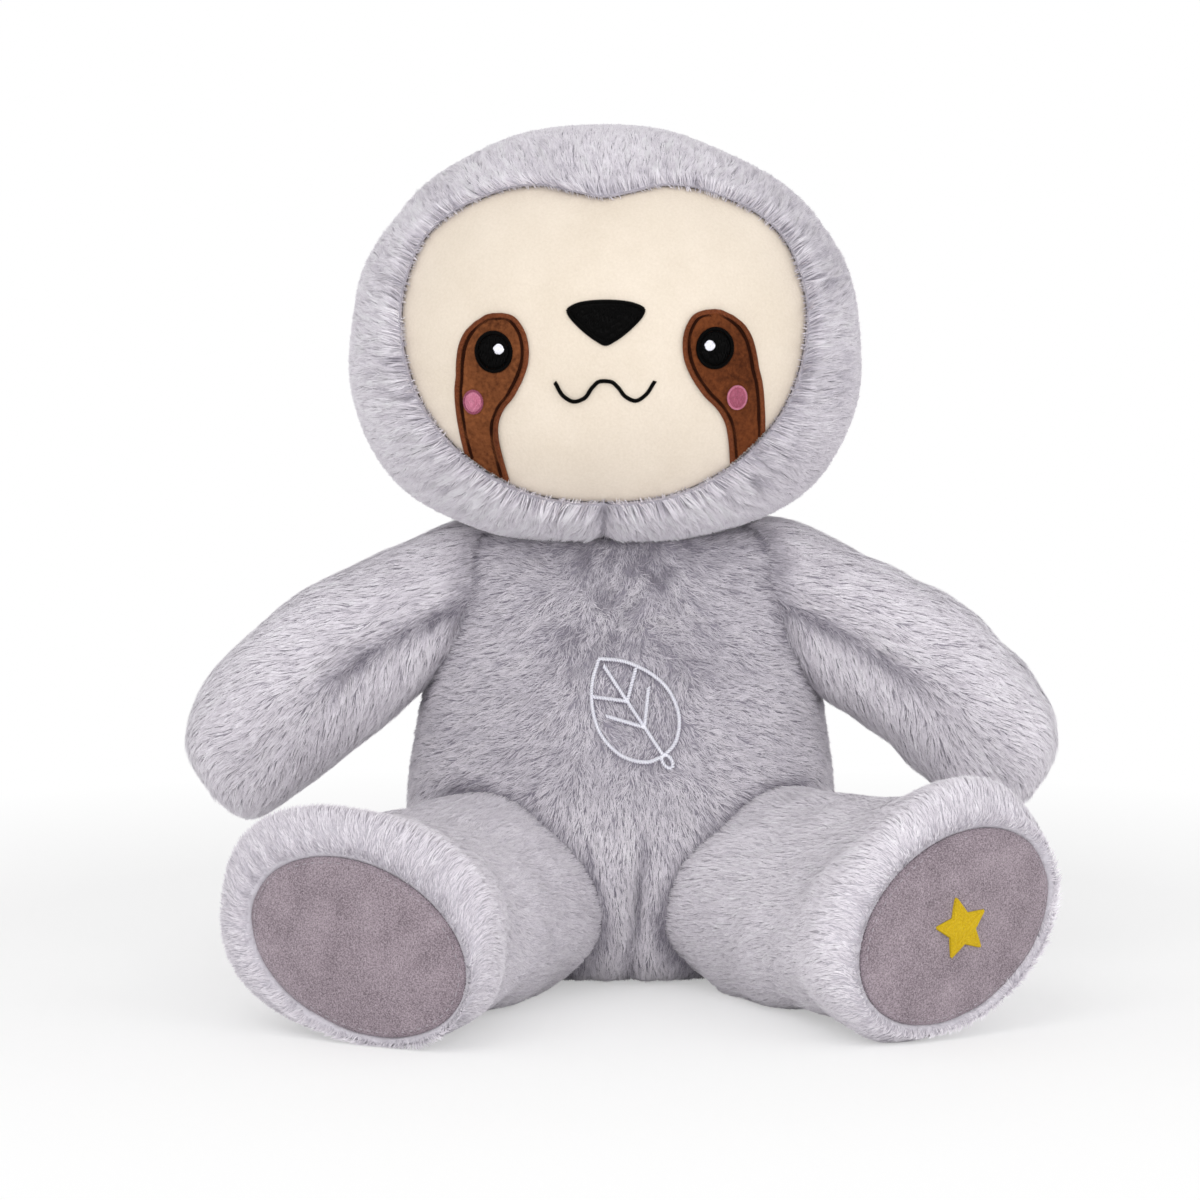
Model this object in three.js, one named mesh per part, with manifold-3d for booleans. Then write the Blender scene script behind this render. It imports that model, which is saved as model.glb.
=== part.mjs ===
// A seated plush sloth, in millimetres. The origin is on the floor under the middle of the body.
// +Z is up and the toy looks along -Y. Left and right are as seen from the front, so left is -X.
// Every stuffed part is a cloth skin round its own stuffing. The head and limbs turn on ball-shaped
// roots, which stand for the sewn seams that flex there.
import * as THREE from 'three';
import { mergeVertices } from 'three/addons/utils/BufferGeometryUtils.js';
import Module from 'manifold-3d';

const wasm = await Module();
wasm.setup();

// Cloths and clearances
const gap = 0.3;
const socketClearance = 0.6;
const plushThickness = 6;
const velourThickness = 2.4;
const appliqueThickness = 0.9;
const threadThickness = 0.7;
const stuffingGap = 0.5;
const floorCut = 0.5;
const overrun = 60;

// Body: a pear that is broad and flat where it sits
const bodyHeight = 190;
const bodyHalfWidth = 92;
const bodyFrontDepth = 70;
const bodyBackDepth = 68;
const bodyPower = 2.25;
const bodyProfileShares = [
  [0, 0], [0.52, 0.004], [0.74, 0.035], [0.9, 0.12], [0.985, 0.24], [0.98, 0.38],
  [0.93, 0.55], [0.85, 0.72], [0.78, 0.86], [0.62, 0.95], [0, 1],
];
const bodyTopDepthShare = 0.86;

// Neck: a ball on the body that the head sits over
const neckX = -3;
const neckY = 0;
const neckUnderTop = 30;
const neckZ = bodyHeight - neckUnderTop;
const neckRadius = 40;
const neckNodDegrees = 12;
const neckOpeningRadius = 24;

// Head
const headX = -7;
const headY = -4;
const headOverBody = 67;
const headZ = bodyHeight + headOverBody;
const headHalfWidth = 106.5;
const headRise = 98;
const headDrop = 77;
const headFrontDepth = 84;
const headBackDepth = 80;
const headTopPower = 2.02;
const headBottomPower = 2.42;

// Face panel and what is sewn on it, placed from the middle of the panel
const faceX = -7.5;
const faceOverHead = 11.3;
const faceZ = headZ + faceOverHead;
const faceTurnDegrees = 1;
const faceHalfWidth = 82;
const faceHalfHeight = 63.5;
const faceSink = 4;
const faceSwell = 5.5;
const faceShares = [
  [0, 0.912], [0.13, 0.94], [0.285, 0.98], [0.443, 0.966], [0.6, 0.9], [0.76, 0.794], [0.89, 0.632],
  [0.963, 0.427], [0.998, 0.2], [0.97, -0.14], [0.88, -0.425], [0.73, -0.665], [0.546, -0.848],
  [0.3, -0.98], [0, -1.02],
];

const eyeX = 44.6;
const eyeZ = -1.7;
const eyeHalfWidth = 7.8;
const eyeHalfHeight = 8.6;
const glintShiftX = 2.1;
const glintShiftZ = 1.2;
const glintRadius = 2.3;
const cheekX = 53.3;
const cheekZ = -22.2;
const cheekHalfWidth = 4;
const cheekHalfHeight = 4.9;

// Rows down an eye patch: how far out and how high its middle lies, and its half width
const patchX = 43;
const patchTopZ = 13.8;
const patchHeight = 68;
const patchHalfWidth = 14.5;
const patchTailShift = 2.6;
const patchRowShares = [
  [0, 0, 0.12], [0, 0.02, 0.4], [0, 0.06, 0.64], [0.03, 0.12, 0.84], [0.09, 0.18, 0.95],
  [0.18, 0.25, 1], [0.3, 0.33, 0.97], [0.44, 0.41, 0.89], [0.61, 0.49, 0.78], [0.73, 0.57, 0.67],
  [0.81, 0.66, 0.58], [0.84, 0.78, 0.53], [0.85, 1, 0.52],
];

const noseX = 0.6;
const noseZ = 9.5;
const noseHalfWidth = 16.4;
const noseHalfHeight = 9;
const noseShares = [
  [0, -1.02], [0.24, -0.82], [0.62, -0.3], [0.93, 0.32], [0.96, 0.66], [0.7, 0.9], [0.3, 1.02],
  [-0.3, 1.02], [-0.7, 0.9], [-0.96, 0.62], [-0.93, 0.32], [-0.62, -0.3], [-0.24, -0.82],
];

const mouthZ = -18;
const mouthHalfWidth = 20;
const mouthHalfHeight = 4;
const mouthLine = 1.7;
const mouthShares = [
  [-1, 0.95], [-0.82, -0.5], [-0.62, -1], [-0.44, -0.72], [-0.24, 0.5], [-0.08, 1.05], [0.1, 1],
  [0.26, 0.4], [0.42, -0.6], [0.61, -1.02], [0.8, -0.5], [1, 0.9],
];

// Leaf embroidered on the chest, placed from the body's own frame
const leafX = 3.5;
const leafUnderTop = 72;
const leafZ = bodyHeight - leafUnderTop;
const leafHalfLength = 23.5;
const leafHalfWidth = 16.5;
const leafTiltDegrees = 34;
const leafLine = 1.6;
const leafShares = [[0, 1], [0.5, 0.7], [0.88, 0.25], [1, -0.15], [0.86, -0.6], [0.45, -0.93], [0, -1.02]];
const leafSpineShares = [-1, -0.4, 0.2, 0.84];
const leafVeinShares = [[-0.42, 0.1], [0.12, 0.5]];
const leafVeinReachShare = 0.62;
const leafSpineThreadShare = 0.8;
const leafVeinThreadShare = 0.9;
const leafStalkLength = 6.2;
const leafStalkHalfWidth = 1.8;

// Arms: the length runs from the shoulder's pivot to the tip of the paw
const shoulderInset = 21;
const shoulderX = bodyHalfWidth - shoulderInset;
const shoulderY = 1;
const shoulderUnderTop = 33;
const shoulderZ = bodyHeight - shoulderUnderTop;
const shoulderRadius = 26;
const armLength = 130;
const armHalfHeight = 31.5;
const armHalfDepth = 31;
const armDropDegrees = 37;
const armForwardDegrees = 12;
const armBend = 8.5;
const armSeamDepth = 3;
const armSeamSpreadShare = 0.2;
const armRaiseDegrees = 25;
const armLowerDegrees = 10;
const armSizeShares = [
  [-0.19, 0.7], [-0.1, 0.9], [0, 0.97], [0.1, 0.99], [0.24, 0.99], [0.42, 1], [0.6, 1.02],
  [0.75, 0.98], [0.87, 0.84], [0.95, 0.61], [0.99, 0.3],
];

// Legs: the length runs from the hip's pivot to the sole
const hipY = -35;
const hipZ = 43.5;
const hipRadius = 41;
const legLength = 149;
const thighHalfLength = 45;
const thighHalfWidth = 37;
const thighRollDegrees = 42;
// Rings along the thigh: how far down the leg each lies, its size, and how far it sinks
const thighShares = [
  [0.02, 0.92, 0.08], [0.14, 0.98, 0.11], [0.3, 0.96, 0.11], [0.46, 0.93, 0.1], [0.61, 0.92, 0.07],
  [0.74, 0.95, 0.03],
];
const legPower = 2.4;
const footRoundShares = [[0.88, 1, 0], [0.955, 0.985, 0], [0.988, 0.945, 0]];
const legLeft = {
  name: 'left', side: -1, hipX: -42, spreadDegrees: 27,
  footHalfLength: 60, footHalfWidth: 44.5, footRollDegrees: 8,
  soleHalfLength: 48.8, soleHalfWidth: 33, soleRollDegrees: 16.5, soleShift: 4.5, soleDrop: 6.5,
};
const legRight = {
  name: 'right', side: 1, hipX: 49, spreadDegrees: 32.2,
  footHalfLength: 57, footHalfWidth: 41.5, footRollDegrees: 36,
  soleHalfLength: 47.5, soleHalfWidth: 34.5, soleRollDegrees: 28, soleShift: 4.5, soleDrop: 5.2,
};
const legInwardDegrees = 5;
const legOutwardDegrees = 15;

// Sole of each foot and the star sewn on one of them
const soleSink = 1.5;
const soleSwell = 3;
const starPoints = 5;
const starRadius = 13;
const starTurnDegrees = 12;
const starInnerShare = 0.5;

// Bead pouch in the seat of the body, behind the hips
const pouchY = 17;
const pouchRadius = 21;
const pouchHeight = 22;

// Fineness of the meshes
const bodySides = 28;
const bodyRings = 14;
const headSides = 30;
const headRings = 18;
const limbSides = 16;
const legSides = 18;
const insideSides = 12;
const insideRings = 7;
const ballSides = 16;
const panelSides = 36;
const panelRings = 4;
const leafSides = 28;
const soleSides = 28;
const soleRings = 2;
const smallSides = 18;
const noseSides = 27;
const weldDistance = 1e-4;

// How rough each cloth and thread looks
const furRoughness = 0.95;
const velourRoughness = 0.85;
const padRoughness = 0.9;
const pouchRoughness = 0.9;
const fillingRoughness = 1;
const satinRoughness = 0.5;
const eyeRoughness = 0.35;
const glintRoughness = 0.4;
const noseRoughness = 0.45;
const starRoughness = 0.45;

const greyFur = 0xc6c1c9;
const greyFurLeg = 0xcdc9d0;
const creamVelour = 0xf8ecde;
const greyVelour = 0xa2949c;
const brownVelour = 0x75452b;
const blackSatin = 0x0b0a0b;
const pinkSatin = 0xc97f97;
const whiteThread = 0xe9e8ee;
const yellowThread = 0xdcbe1e;
const fillingWhite = 0xefeee9;
const pouchCloth = 0xd8d2c6;

const radians = THREE.MathUtils.degToRad;

function signedPower(value, power) {
  return Math.sign(value) * Math.abs(value) ** power;
}

// Evenly spaced points on a smooth curve through the given ones.
function smooth(points, count, closed = false) {
  const through = points.map(([x, y, z = 0]) => new THREE.Vector3(x, y, z));
  const curve = new THREE.CatmullRomCurve3(through, closed, 'centripetal');
  const spaced = curve.getSpacedPoints(count);
  return closed ? spaced.slice(0, -1) : spaced;
}

function mirrored(halfOutline) {
  const other = halfOutline.slice(1, -1).reverse().map(([x, z]) => [-x, z]);
  return [...halfOutline, ...other];
}

function geometryOf(points, triangles) {
  const geometry = new THREE.BufferGeometry();
  const numbers = points.flatMap((p) => [p.x, p.y, p.z]);
  geometry.setAttribute('position', new THREE.Float32BufferAttribute(numbers, 3));
  geometry.setIndex(triangles.flat());
  return geometry;
}

// A closed body through rings of points, with a point at each end.
function loft(start, rings, end) {
  const sides = rings[0].length;
  const points = [start, ...rings.flat(), end];
  const last = points.length - 1;
  const at = (ring, side) => 1 + ring * sides + (side % sides);
  const triangles = [];
  for (let side = 0; side < sides; side += 1) {
    triangles.push([0, at(0, side + 1), at(0, side)]);
    triangles.push([last, at(rings.length - 1, side), at(rings.length - 1, side + 1)]);
    for (let ring = 0; ring + 1 < rings.length; ring += 1) {
      triangles.push([at(ring, side), at(ring, side + 1), at(ring + 1, side + 1)]);
      triangles.push([at(ring, side), at(ring + 1, side + 1), at(ring + 1, side)]);
    }
  }
  return geometryOf(points, triangles);
}

function solid(geometry) {
  const bare = geometry.clone();
  for (const name of ['normal', 'uv']) {
    if (bare.getAttribute(name)) bare.deleteAttribute(name);
  }
  const merged = mergeVertices(bare, weldDistance);
  const mesh = new wasm.Mesh({
    numProp: 3,
    vertProperties: merged.attributes.position.array,
    triVerts: new Uint32Array(merged.index.array),
  });
  return new wasm.Manifold(mesh);
}

function geometryFrom(manifold) {
  const mesh = manifold.getMesh();
  const geometry = new THREE.BufferGeometry();
  geometry.setAttribute('position', new THREE.BufferAttribute(mesh.vertProperties, 3));
  geometry.setIndex(new THREE.BufferAttribute(mesh.triVerts, 1));
  return geometry;
}

function moved(manifold, matrix) {
  return solid(geometryFrom(manifold).applyMatrix4(matrix));
}

// The space that a body sweeps as it turns about a pivot, at a few steps of the turn.
function swept(manifold, pivot, axis, fromDegrees, toDegrees, steps = 2) {
  let all = null;
  for (let step = 0; step <= steps; step += 1) {
    const angle = radians(fromDegrees + ((toDegrees - fromDegrees) * step) / steps);
    const matrix = new THREE.Matrix4().makeTranslation(pivot);
    matrix.multiply(new THREE.Matrix4().makeRotationAxis(axis, angle));
    matrix.multiply(new THREE.Matrix4().makeTranslation(pivot.clone().negate()));
    const turned = moved(manifold, matrix);
    all = all ? all.add(turned) : turned;
  }
  return all;
}

function ball(centre, radius, sides = ballSides) {
  const geometry = new THREE.SphereGeometry(radius, sides, sides / 2);
  return solid(geometry.translate(centre.x, centre.y, centre.z));
}

// A faceted ball whose flats, and not its corners, lie at the radius.
function socket(centre, radius) {
  return ball(centre, radius / Math.cos(Math.PI / ballSides) ** 2);
}

function box(lowX, highX, lowY, highY, lowZ, highZ) {
  const geometry = new THREE.BoxGeometry(highX - lowX, highY - lowY, highZ - lowZ);
  return solid(geometry.translate((lowX + highX) / 2, (lowY + highY) / 2, (lowZ + highZ) / 2));
}

function aboveFloor(manifold) {
  const reach = bodyHeight + headRise + headDrop;
  return manifold.subtract(box(-reach, reach, -reach, reach, -reach, 0));
}

// Body form

const bodyCurve = smooth(bodyProfileShares, bodyRings * 4);

function bodyDepthShare(heightShare) {
  return 1 - (1 - bodyTopDepthShare) * heightShare;
}

function bodyRing(widthShare, heightShare, grow, sides) {
  const points = [];
  const depthShare = bodyDepthShare(heightShare);
  for (let side = 0; side < sides; side += 1) {
    const angle = (2 * Math.PI * side) / sides;
    const across = signedPower(Math.cos(angle), 2 / bodyPower);
    const along = signedPower(Math.sin(angle), 2 / bodyPower);
    const depth = along < 0 ? bodyFrontDepth : bodyBackDepth;
    const x = across * (widthShare * bodyHalfWidth + grow);
    const y = along * (widthShare * depth * depthShare + grow);
    points.push(new THREE.Vector3(x, y, -floorCut + heightShare * bodyHeight + grow * (2 * heightShare - 1)));
  }
  return points;
}

function bodyForm(grow, sides, rings) {
  const profile = smooth(bodyProfileShares, rings + 1);
  const circles = profile.slice(1, -1).map((p) => bodyRing(p.x, p.y, grow, sides));
  const start = new THREE.Vector3(0, 0, -floorCut - grow);
  const end = new THREE.Vector3(0, 0, bodyHeight - floorCut + grow);
  return solid(loft(start, circles, end));
}

// How far forward the body's front lies at a place on the chest.
function bodyFrontAt(x, z) {
  const heightShare = (z + floorCut) / bodyHeight;
  const above = bodyCurve.findIndex((p) => p.y > heightShare);
  const low = bodyCurve[above - 1];
  const high = bodyCurve[above];
  const widthShare = low.x + ((high.x - low.x) * (heightShare - low.y)) / (high.y - low.y);
  const across = Math.min(1, Math.abs(x) / (widthShare * bodyHalfWidth)) ** bodyPower;
  return -widthShare * bodyFrontDepth * bodyDepthShare(heightShare) * (1 - across) ** (1 / bodyPower);
}

// Head form

// The head's reach from its middle along a direction, moved in or out by grow.
function headReach(direction, grow) {
  const wide = Math.abs(direction.x) / (headHalfWidth + grow);
  const deep = Math.abs(direction.y) / ((direction.y < 0 ? headFrontDepth : headBackDepth) + grow);
  const tall = Math.abs(direction.z) / ((direction.z > 0 ? headRise : headDrop) + grow);
  const topShare = (1 + direction.z) / 2;
  const power = headBottomPower + (headTopPower - headBottomPower) * topShare;
  return (wide ** power + deep ** power + tall ** power) ** (-1 / power);
}

function headForm(grow, sides, rings) {
  const centre = new THREE.Vector3(headX, headY, headZ);
  const circles = [];
  for (let ring = 1; ring < rings; ring += 1) {
    const rise = -Math.PI / 2 + (Math.PI * ring) / rings;
    const points = [];
    for (let side = 0; side < sides; side += 1) {
      const angle = (2 * Math.PI * side) / sides;
      const x = Math.cos(rise) * Math.cos(angle);
      const y = Math.cos(rise) * Math.sin(angle);
      const direction = new THREE.Vector3(x, y, Math.sin(rise));
      points.push(direction.clone().multiplyScalar(headReach(direction, grow)).add(centre));
    }
    circles.push(points);
  }
  const start = new THREE.Vector3(headX, headY, headZ - headDrop - grow);
  const end = new THREE.Vector3(headX, headY, headZ + headRise + grow);
  return solid(loft(start, circles, end));
}

// How far forward the head's front lies at a place on it, found by halving.
function headFrontAt(x, z) {
  let near = 0;
  let far = headFrontDepth;
  for (let turn = 0; turn < 40; turn += 1) {
    const middle = (near + far) / 2;
    const offset = new THREE.Vector3(x - headX, -middle, z - headZ);
    const inside = offset.length() < headReach(offset.clone().normalize(), 0);
    if (inside) near = middle;
    else far = middle;
  }
  return headY - near;
}

// The face panel lies sunk in the pile at its edge and swells forward in its middle.
function faceAt(x, z, lift) {
  const across = (x - faceX) / faceHalfWidth;
  const up = (z - faceZ) / faceHalfHeight;
  const swell = faceSwell * Math.max(0, 1 - across ** 2 - up ** 2);
  return new THREE.Vector3(x, headFrontAt(x, z) + faceSink - swell - lift, z);
}

function chestAt(x, z, lift) {
  return new THREE.Vector3(x, bodyFrontAt(x, z) - lift, z);
}

// Thin sewn-on pieces

// A closed solid over a flat layout of points, laid on a surface between two lifts.
function sewnPiece(layout, surface, low, high, crown = 0) {
  const count = layout.points.length;
  const raise = (p) => high + crown * (p.inward ?? 0);
  const front = layout.points.map((p) => surface(p.x, p.z, raise(p)));
  const back = layout.points.map((p) => surface(p.x, p.z, low));
  const triangles = [];
  for (const [a, b, c] of layout.triangles) {
    triangles.push([a, b, c]);
    triangles.push([count + a, count + c, count + b]);
  }
  for (const edge of layout.edges) {
    for (let i = 0; i < edge.length; i += 1) {
      const a = edge[i];
      const b = edge[(i + 1) % edge.length];
      triangles.push([a, count + a, b]);
      triangles.push([b, count + a, count + b]);
    }
  }
  return solid(geometryOf([...front, ...back], triangles));
}

// A filled outline in rings about its middle. The outline runs anticlockwise.
function disc(outline, rings) {
  const sides = outline.length;
  const middleX = outline.reduce((sum, p) => sum + p.x, 0) / sides;
  const middleZ = outline.reduce((sum, p) => sum + p.z, 0) / sides;
  const points = [{ x: middleX, z: middleZ, inward: 1 }];
  for (let ring = 1; ring <= rings; ring += 1) {
    const share = Math.sin((Math.PI * ring) / rings / 2);
    for (const p of outline) {
      const x = middleX + (p.x - middleX) * share;
      const z = middleZ + (p.z - middleZ) * share;
      points.push({ x, z, inward: 1 - share ** 2 });
    }
  }
  const at = (ring, side) => 1 + (ring - 1) * sides + (side % sides);
  const triangles = [];
  for (let side = 0; side < sides; side += 1) {
    triangles.push([0, at(1, side), at(1, side + 1)]);
    for (let ring = 1; ring < rings; ring += 1) {
      triangles.push([at(ring, side), at(ring + 1, side), at(ring + 1, side + 1)]);
      triangles.push([at(ring, side), at(ring + 1, side + 1), at(ring, side + 1)]);
    }
  }
  const edge = outline.map((_, side) => at(rings, side));
  return { points, triangles, edges: [edge] };
}

// A strip along a line, with a half width at each of its points.
function strip(line, halfWidths, columns, closed = false) {
  const rows = line.length;
  const points = [];
  line.forEach((p, row) => {
    const before = closed ? line[(row + rows - 1) % rows] : line[Math.max(0, row - 1)];
    const after = closed ? line[(row + 1) % rows] : line[Math.min(rows - 1, row + 1)];
    const length = Math.hypot(after.x - before.x, after.z - before.z);
    const sideX = (after.z - before.z) / length;
    const sideZ = -(after.x - before.x) / length;
    for (let column = 0; column <= columns; column += 1) {
      const share = (2 * column) / columns - 1;
      const x = p.x + sideX * halfWidths[row] * share;
      const z = p.z + sideZ * halfWidths[row] * share;
      points.push({ x, z, inward: 1 - share ** 2 });
    }
  });
  const at = (row, column) => (row % rows) * (columns + 1) + column;
  const triangles = [];
  const spans = closed ? rows : rows - 1;
  for (let row = 0; row < spans; row += 1) {
    for (let column = 0; column < columns; column += 1) {
      triangles.push([at(row, column), at(row, column + 1), at(row + 1, column + 1)]);
      triangles.push([at(row, column), at(row + 1, column + 1), at(row + 1, column)]);
    }
  }
  return { points, triangles, edges: stripEdges(at, rows, columns, closed) };
}

function stripEdges(at, rows, columns, closed) {
  const right = Array.from({ length: rows }, (_, row) => at(row, columns));
  const left = Array.from({ length: rows }, (_, row) => at(rows - 1 - row, 0));
  if (closed) return [right, left];
  const first = Array.from({ length: columns }, (_, column) => at(0, column));
  const last = Array.from({ length: columns - 1 }, (_, column) => at(rows - 1, columns - 1 - column));
  return [[...first, ...right, ...last, ...left.slice(0, -1)]];
}

function constant(line, value) {
  return line.map(() => value);
}

// An outline given in shares of a half width and a half height, about a middle.
function placedOutline(shares, sides, middleX, middleZ, halfWidth, halfHeight) {
  const curve = smooth(shares, sides, true);
  return curve.map((p) => ({ x: middleX + p.x * halfWidth, z: middleZ + p.y * halfHeight }));
}

function oval(sides, middleX, middleZ, halfWidth, halfHeight) {
  return Array.from({ length: sides }, (_, side) => {
    const angle = (2 * Math.PI * side) / sides;
    return { x: middleX + halfWidth * Math.cos(angle), z: middleZ + halfHeight * Math.sin(angle) };
  });
}

function faceOutline(grow) {
  const shares = mirrored(faceShares).reverse();
  return placedOutline(shares, panelSides, faceX, faceZ, faceHalfWidth + grow, faceHalfHeight + grow);
}

// A straight-sided cutter over an outline, from the front of the head back to its middle.
function faceCutter(grow) {
  const shape = new THREE.Shape(faceOutline(grow).map((p) => new THREE.Vector2(p.x, p.z)));
  const depth = overrun + headFrontDepth - plushThickness;
  const geometry = new THREE.ExtrudeGeometry(shape, { depth, bevelEnabled: false });
  geometry.rotateX(Math.PI / 2);
  return solid(geometry.translate(0, headY - plushThickness, 0));
}

// Limbs, each in a frame whose origin is the pivot and whose +X runs down the limb

function armFrame(side) {
  const frame = new THREE.Matrix4().makeTranslation(side * shoulderX, shoulderY, shoulderZ);
  const turn = side > 0 ? -radians(armForwardDegrees) : Math.PI + radians(armForwardDegrees);
  frame.multiply(new THREE.Matrix4().makeRotationZ(turn));
  frame.multiply(new THREE.Matrix4().makeRotationY(radians(armDropDegrees)));
  return frame;
}

// The seam along the front of the arm draws the pile in.
function armSeamPull(angle, front) {
  const away = Math.abs(Math.atan2(Math.sin(angle - front), Math.cos(angle - front)));
  return armSeamDepth * Math.exp(-((away / (Math.PI * armSeamSpreadShare)) ** 2));
}

function armForm(side, grow, sides) {
  const front = side > 0 ? Math.PI : 0;
  const profile = smooth(armSizeShares, armSizeShares.length);
  const circles = profile.map((p) => {
    const points = [];
    for (let step = 0; step < sides; step += 1) {
      const angle = (2 * Math.PI * step) / sides;
      const pull = armSeamPull(angle, front) * Math.sin(Math.PI * p.x);
      const bend = armBend * Math.sin(Math.PI * p.x);
      const y = Math.cos(angle) * (p.y * armHalfDepth + grow - pull);
      const z = Math.sin(angle) * (p.y * armHalfHeight + grow) + bend;
      points.push(new THREE.Vector3(p.x * (armLength + grow), y, z));
    }
    return points;
  });
  const start = new THREE.Vector3(-shoulderRadius - grow, 0, 0);
  const end = new THREE.Vector3(armLength + grow, 0, 0);
  return solid(loft(start, circles, end));
}

function legFrame(leg) {
  const frame = new THREE.Matrix4().makeTranslation(leg.hipX, hipY, hipZ);
  const turn = -Math.PI / 2 + leg.side * radians(leg.spreadDegrees);
  return frame.multiply(new THREE.Matrix4().makeRotationZ(turn));
}

// The foot is a full oval whose toes lean outward, and its sole leans further.
function footLean(leg) {
  return leg.side * radians(leg.footRollDegrees);
}

function soleLean(leg) {
  return leg.side * radians(leg.soleRollDegrees);
}

function footHalfHeight(leg) {
  const lean = footLean(leg);
  const heights = Array.from({ length: legSides }, (_, side) => {
    const angle = (2 * Math.PI * side) / legSides;
    return ovalPoint(angle, lean, leg.footHalfLength, leg.footHalfWidth, legPower).z;
  });
  return Math.max(...heights);
}

function footMiddle(leg) {
  return footHalfHeight(leg) - hipZ - floorCut;
}

function ovalPoint(angle, lean, halfLength, halfWidth, power = 2) {
  const along = signedPower(Math.cos(angle - lean), 2 / power) * halfLength;
  const across = signedPower(Math.sin(angle - lean), 2 / power) * halfWidth;
  const y = along * Math.cos(lean) - across * Math.sin(lean);
  const z = along * Math.sin(lean) + across * Math.cos(lean);
  return { y, z };
}

function legForm(leg, grow, sides) {
  const lean = footLean(leg);
  const thighLean = leg.side * radians(thighRollDegrees);
  const stations = [...thighShares, ...footRoundShares];
  const circles = stations.map(([lengthShare, sizeShare, sinkShare]) => {
    const foot = THREE.MathUtils.smoothstep(lengthShare, 0, footRoundShares[0][0]);
    const points = [];
    for (let step = 0; step < sides; step += 1) {
      const angle = (2 * Math.PI * step) / sides;
      const footLong = leg.footHalfLength * sizeShare + grow;
      const tip = ovalPoint(angle, lean, footLong, leg.footHalfWidth * sizeShare + grow, legPower);
      const thighLong = thighHalfLength * sizeShare + grow;
      const root = ovalPoint(angle, thighLean, thighLong, thighHalfWidth * sizeShare + grow, legPower);
      const y = (1 - foot) * root.y + foot * tip.y;
      const z = (1 - foot) * root.z + foot * (tip.z + footMiddle(leg)) - sinkShare * thighHalfWidth;
      points.push(new THREE.Vector3(lengthShare * (legLength + grow), y, z));
    }
    return points;
  });
  const start = new THREE.Vector3(-hipRadius / 2 - grow, 0, 0);
  const end = new THREE.Vector3(legLength + grow, 0, footMiddle(leg));
  return solid(loft(start, circles, end));
}

// How far the sole lies down the leg, domed in its middle and raised by a lift.
function soleSurface(leg) {
  const lean = soleLean(leg);
  const middle = soleMiddle(leg);
  return (y, z, lift) => {
    const aside = y - middle.x;
    const up = z - middle.z;
    const along = (aside * Math.cos(lean) + up * Math.sin(lean)) / leg.soleHalfLength;
    const across = (up * Math.cos(lean) - aside * Math.sin(lean)) / leg.soleHalfWidth;
    const dome = soleSwell * Math.max(0, 1 - along ** 2 - across ** 2);
    return new THREE.Vector3(legLength - soleSink + dome + lift, y, z);
  };
}

function soleMiddle(leg) {
  return { x: leg.soleShift, z: footMiddle(leg) - leg.soleDrop };
}

function soleOutline(leg, grow) {
  const middle = soleMiddle(leg);
  return Array.from({ length: soleSides }, (_, side) => {
    const angle = (2 * Math.PI * side) / soleSides;
    const p = ovalPoint(angle, soleLean(leg), leg.soleHalfLength + grow, leg.soleHalfWidth + grow);
    return { x: middle.x + p.y, z: middle.z + p.z };
  });
}

function soleCutter(leg) {
  const flat = (x, z, lift) => new THREE.Vector3(lift, x, z);
  const back = legLength - 2 * plushThickness;
  return sewnPiece(disc(soleOutline(leg, gap), 1), flat, back, legLength + overrun);
}

// Building up the parts

const group = new THREE.Group();

function piece(name, manifold, color, roughness, parent = group) {
  const material = new THREE.MeshStandardMaterial({ color, roughness, metalness: 0 });
  const mesh = new THREE.Mesh(geometryFrom(manifold), material);
  mesh.name = name;
  parent.add(mesh);
}

const neck = new THREE.Vector3(neckX, neckY, neckZ);
const shoulder = (side) => new THREE.Vector3(side * shoulderX, shoulderY, shoulderZ);
const hip = (leg) => new THREE.Vector3(leg.hipX, hipY, hipZ);
const sides = [{ name: 'left', side: -1 }, { name: 'right', side: 1 }];
const legs = [legLeft, legRight];
const pivot = new THREE.Vector3();

function limbSockets(extra) {
  let all = null;
  for (const { side } of sides) {
    const cut = socket(shoulder(side), shoulderRadius + socketClearance + extra);
    all = all ? all.add(cut) : cut;
  }
  for (const leg of legs) all = all.add(socket(hip(leg), hipRadius + socketClearance + extra));
  return all;
}

function pouchForm(grow) {
  const profile = [];
  for (let step = 0; step <= insideRings; step += 1) {
    const angle = -Math.PI / 2 + (Math.PI * step) / insideRings;
    const across = step % insideRings ? Math.cos(angle) * (pouchRadius + grow) : 0;
    profile.push(new THREE.Vector2(across, Math.sin(angle) * (pouchHeight / 2 + grow)));
  }
  const geometry = new THREE.LatheGeometry(profile, insideSides).rotateX(Math.PI / 2);
  return solid(geometry.translate(0, pouchY, plushThickness - floorCut + gap + pouchHeight / 2));
}

function makeBody() {
  const outside = bodyForm(0, bodySides, bodyRings).add(ball(neck, neckRadius));
  const inside = (inset) => bodyForm(-inset, insideSides, insideRings)
    .add(ball(neck, neckRadius - inset, insideSides));
  const opening = new THREE.CylinderGeometry(neckOpeningRadius, neckOpeningRadius, overrun, insideSides);
  opening.rotateX(Math.PI / 2).translate(neckX, neckY, neckZ + neckRadius / 2 + overrun / 2);
  const sockets = limbSockets(0);
  const shell = aboveFloor(outside).subtract(inside(plushThickness));
  const skin = shell.subtract(sockets).subtract(solid(opening));
  piece('body_skin', skin, greyFur, furRoughness);
  const reach = pouchRadius / 2;
  const way = box(-reach, reach, pouchY - reach, pouchY + reach, 0, plushThickness + pouchHeight / 2);
  const filling = inside(plushThickness + stuffingGap).subtract(limbSockets(gap))
    .subtract(pouchForm(gap)).subtract(way);
  piece('body_stuffing', filling, fillingWhite, fillingRoughness);
  piece('bead_pouch', pouchForm(0), pouchCloth, pouchRoughness);
}

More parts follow.
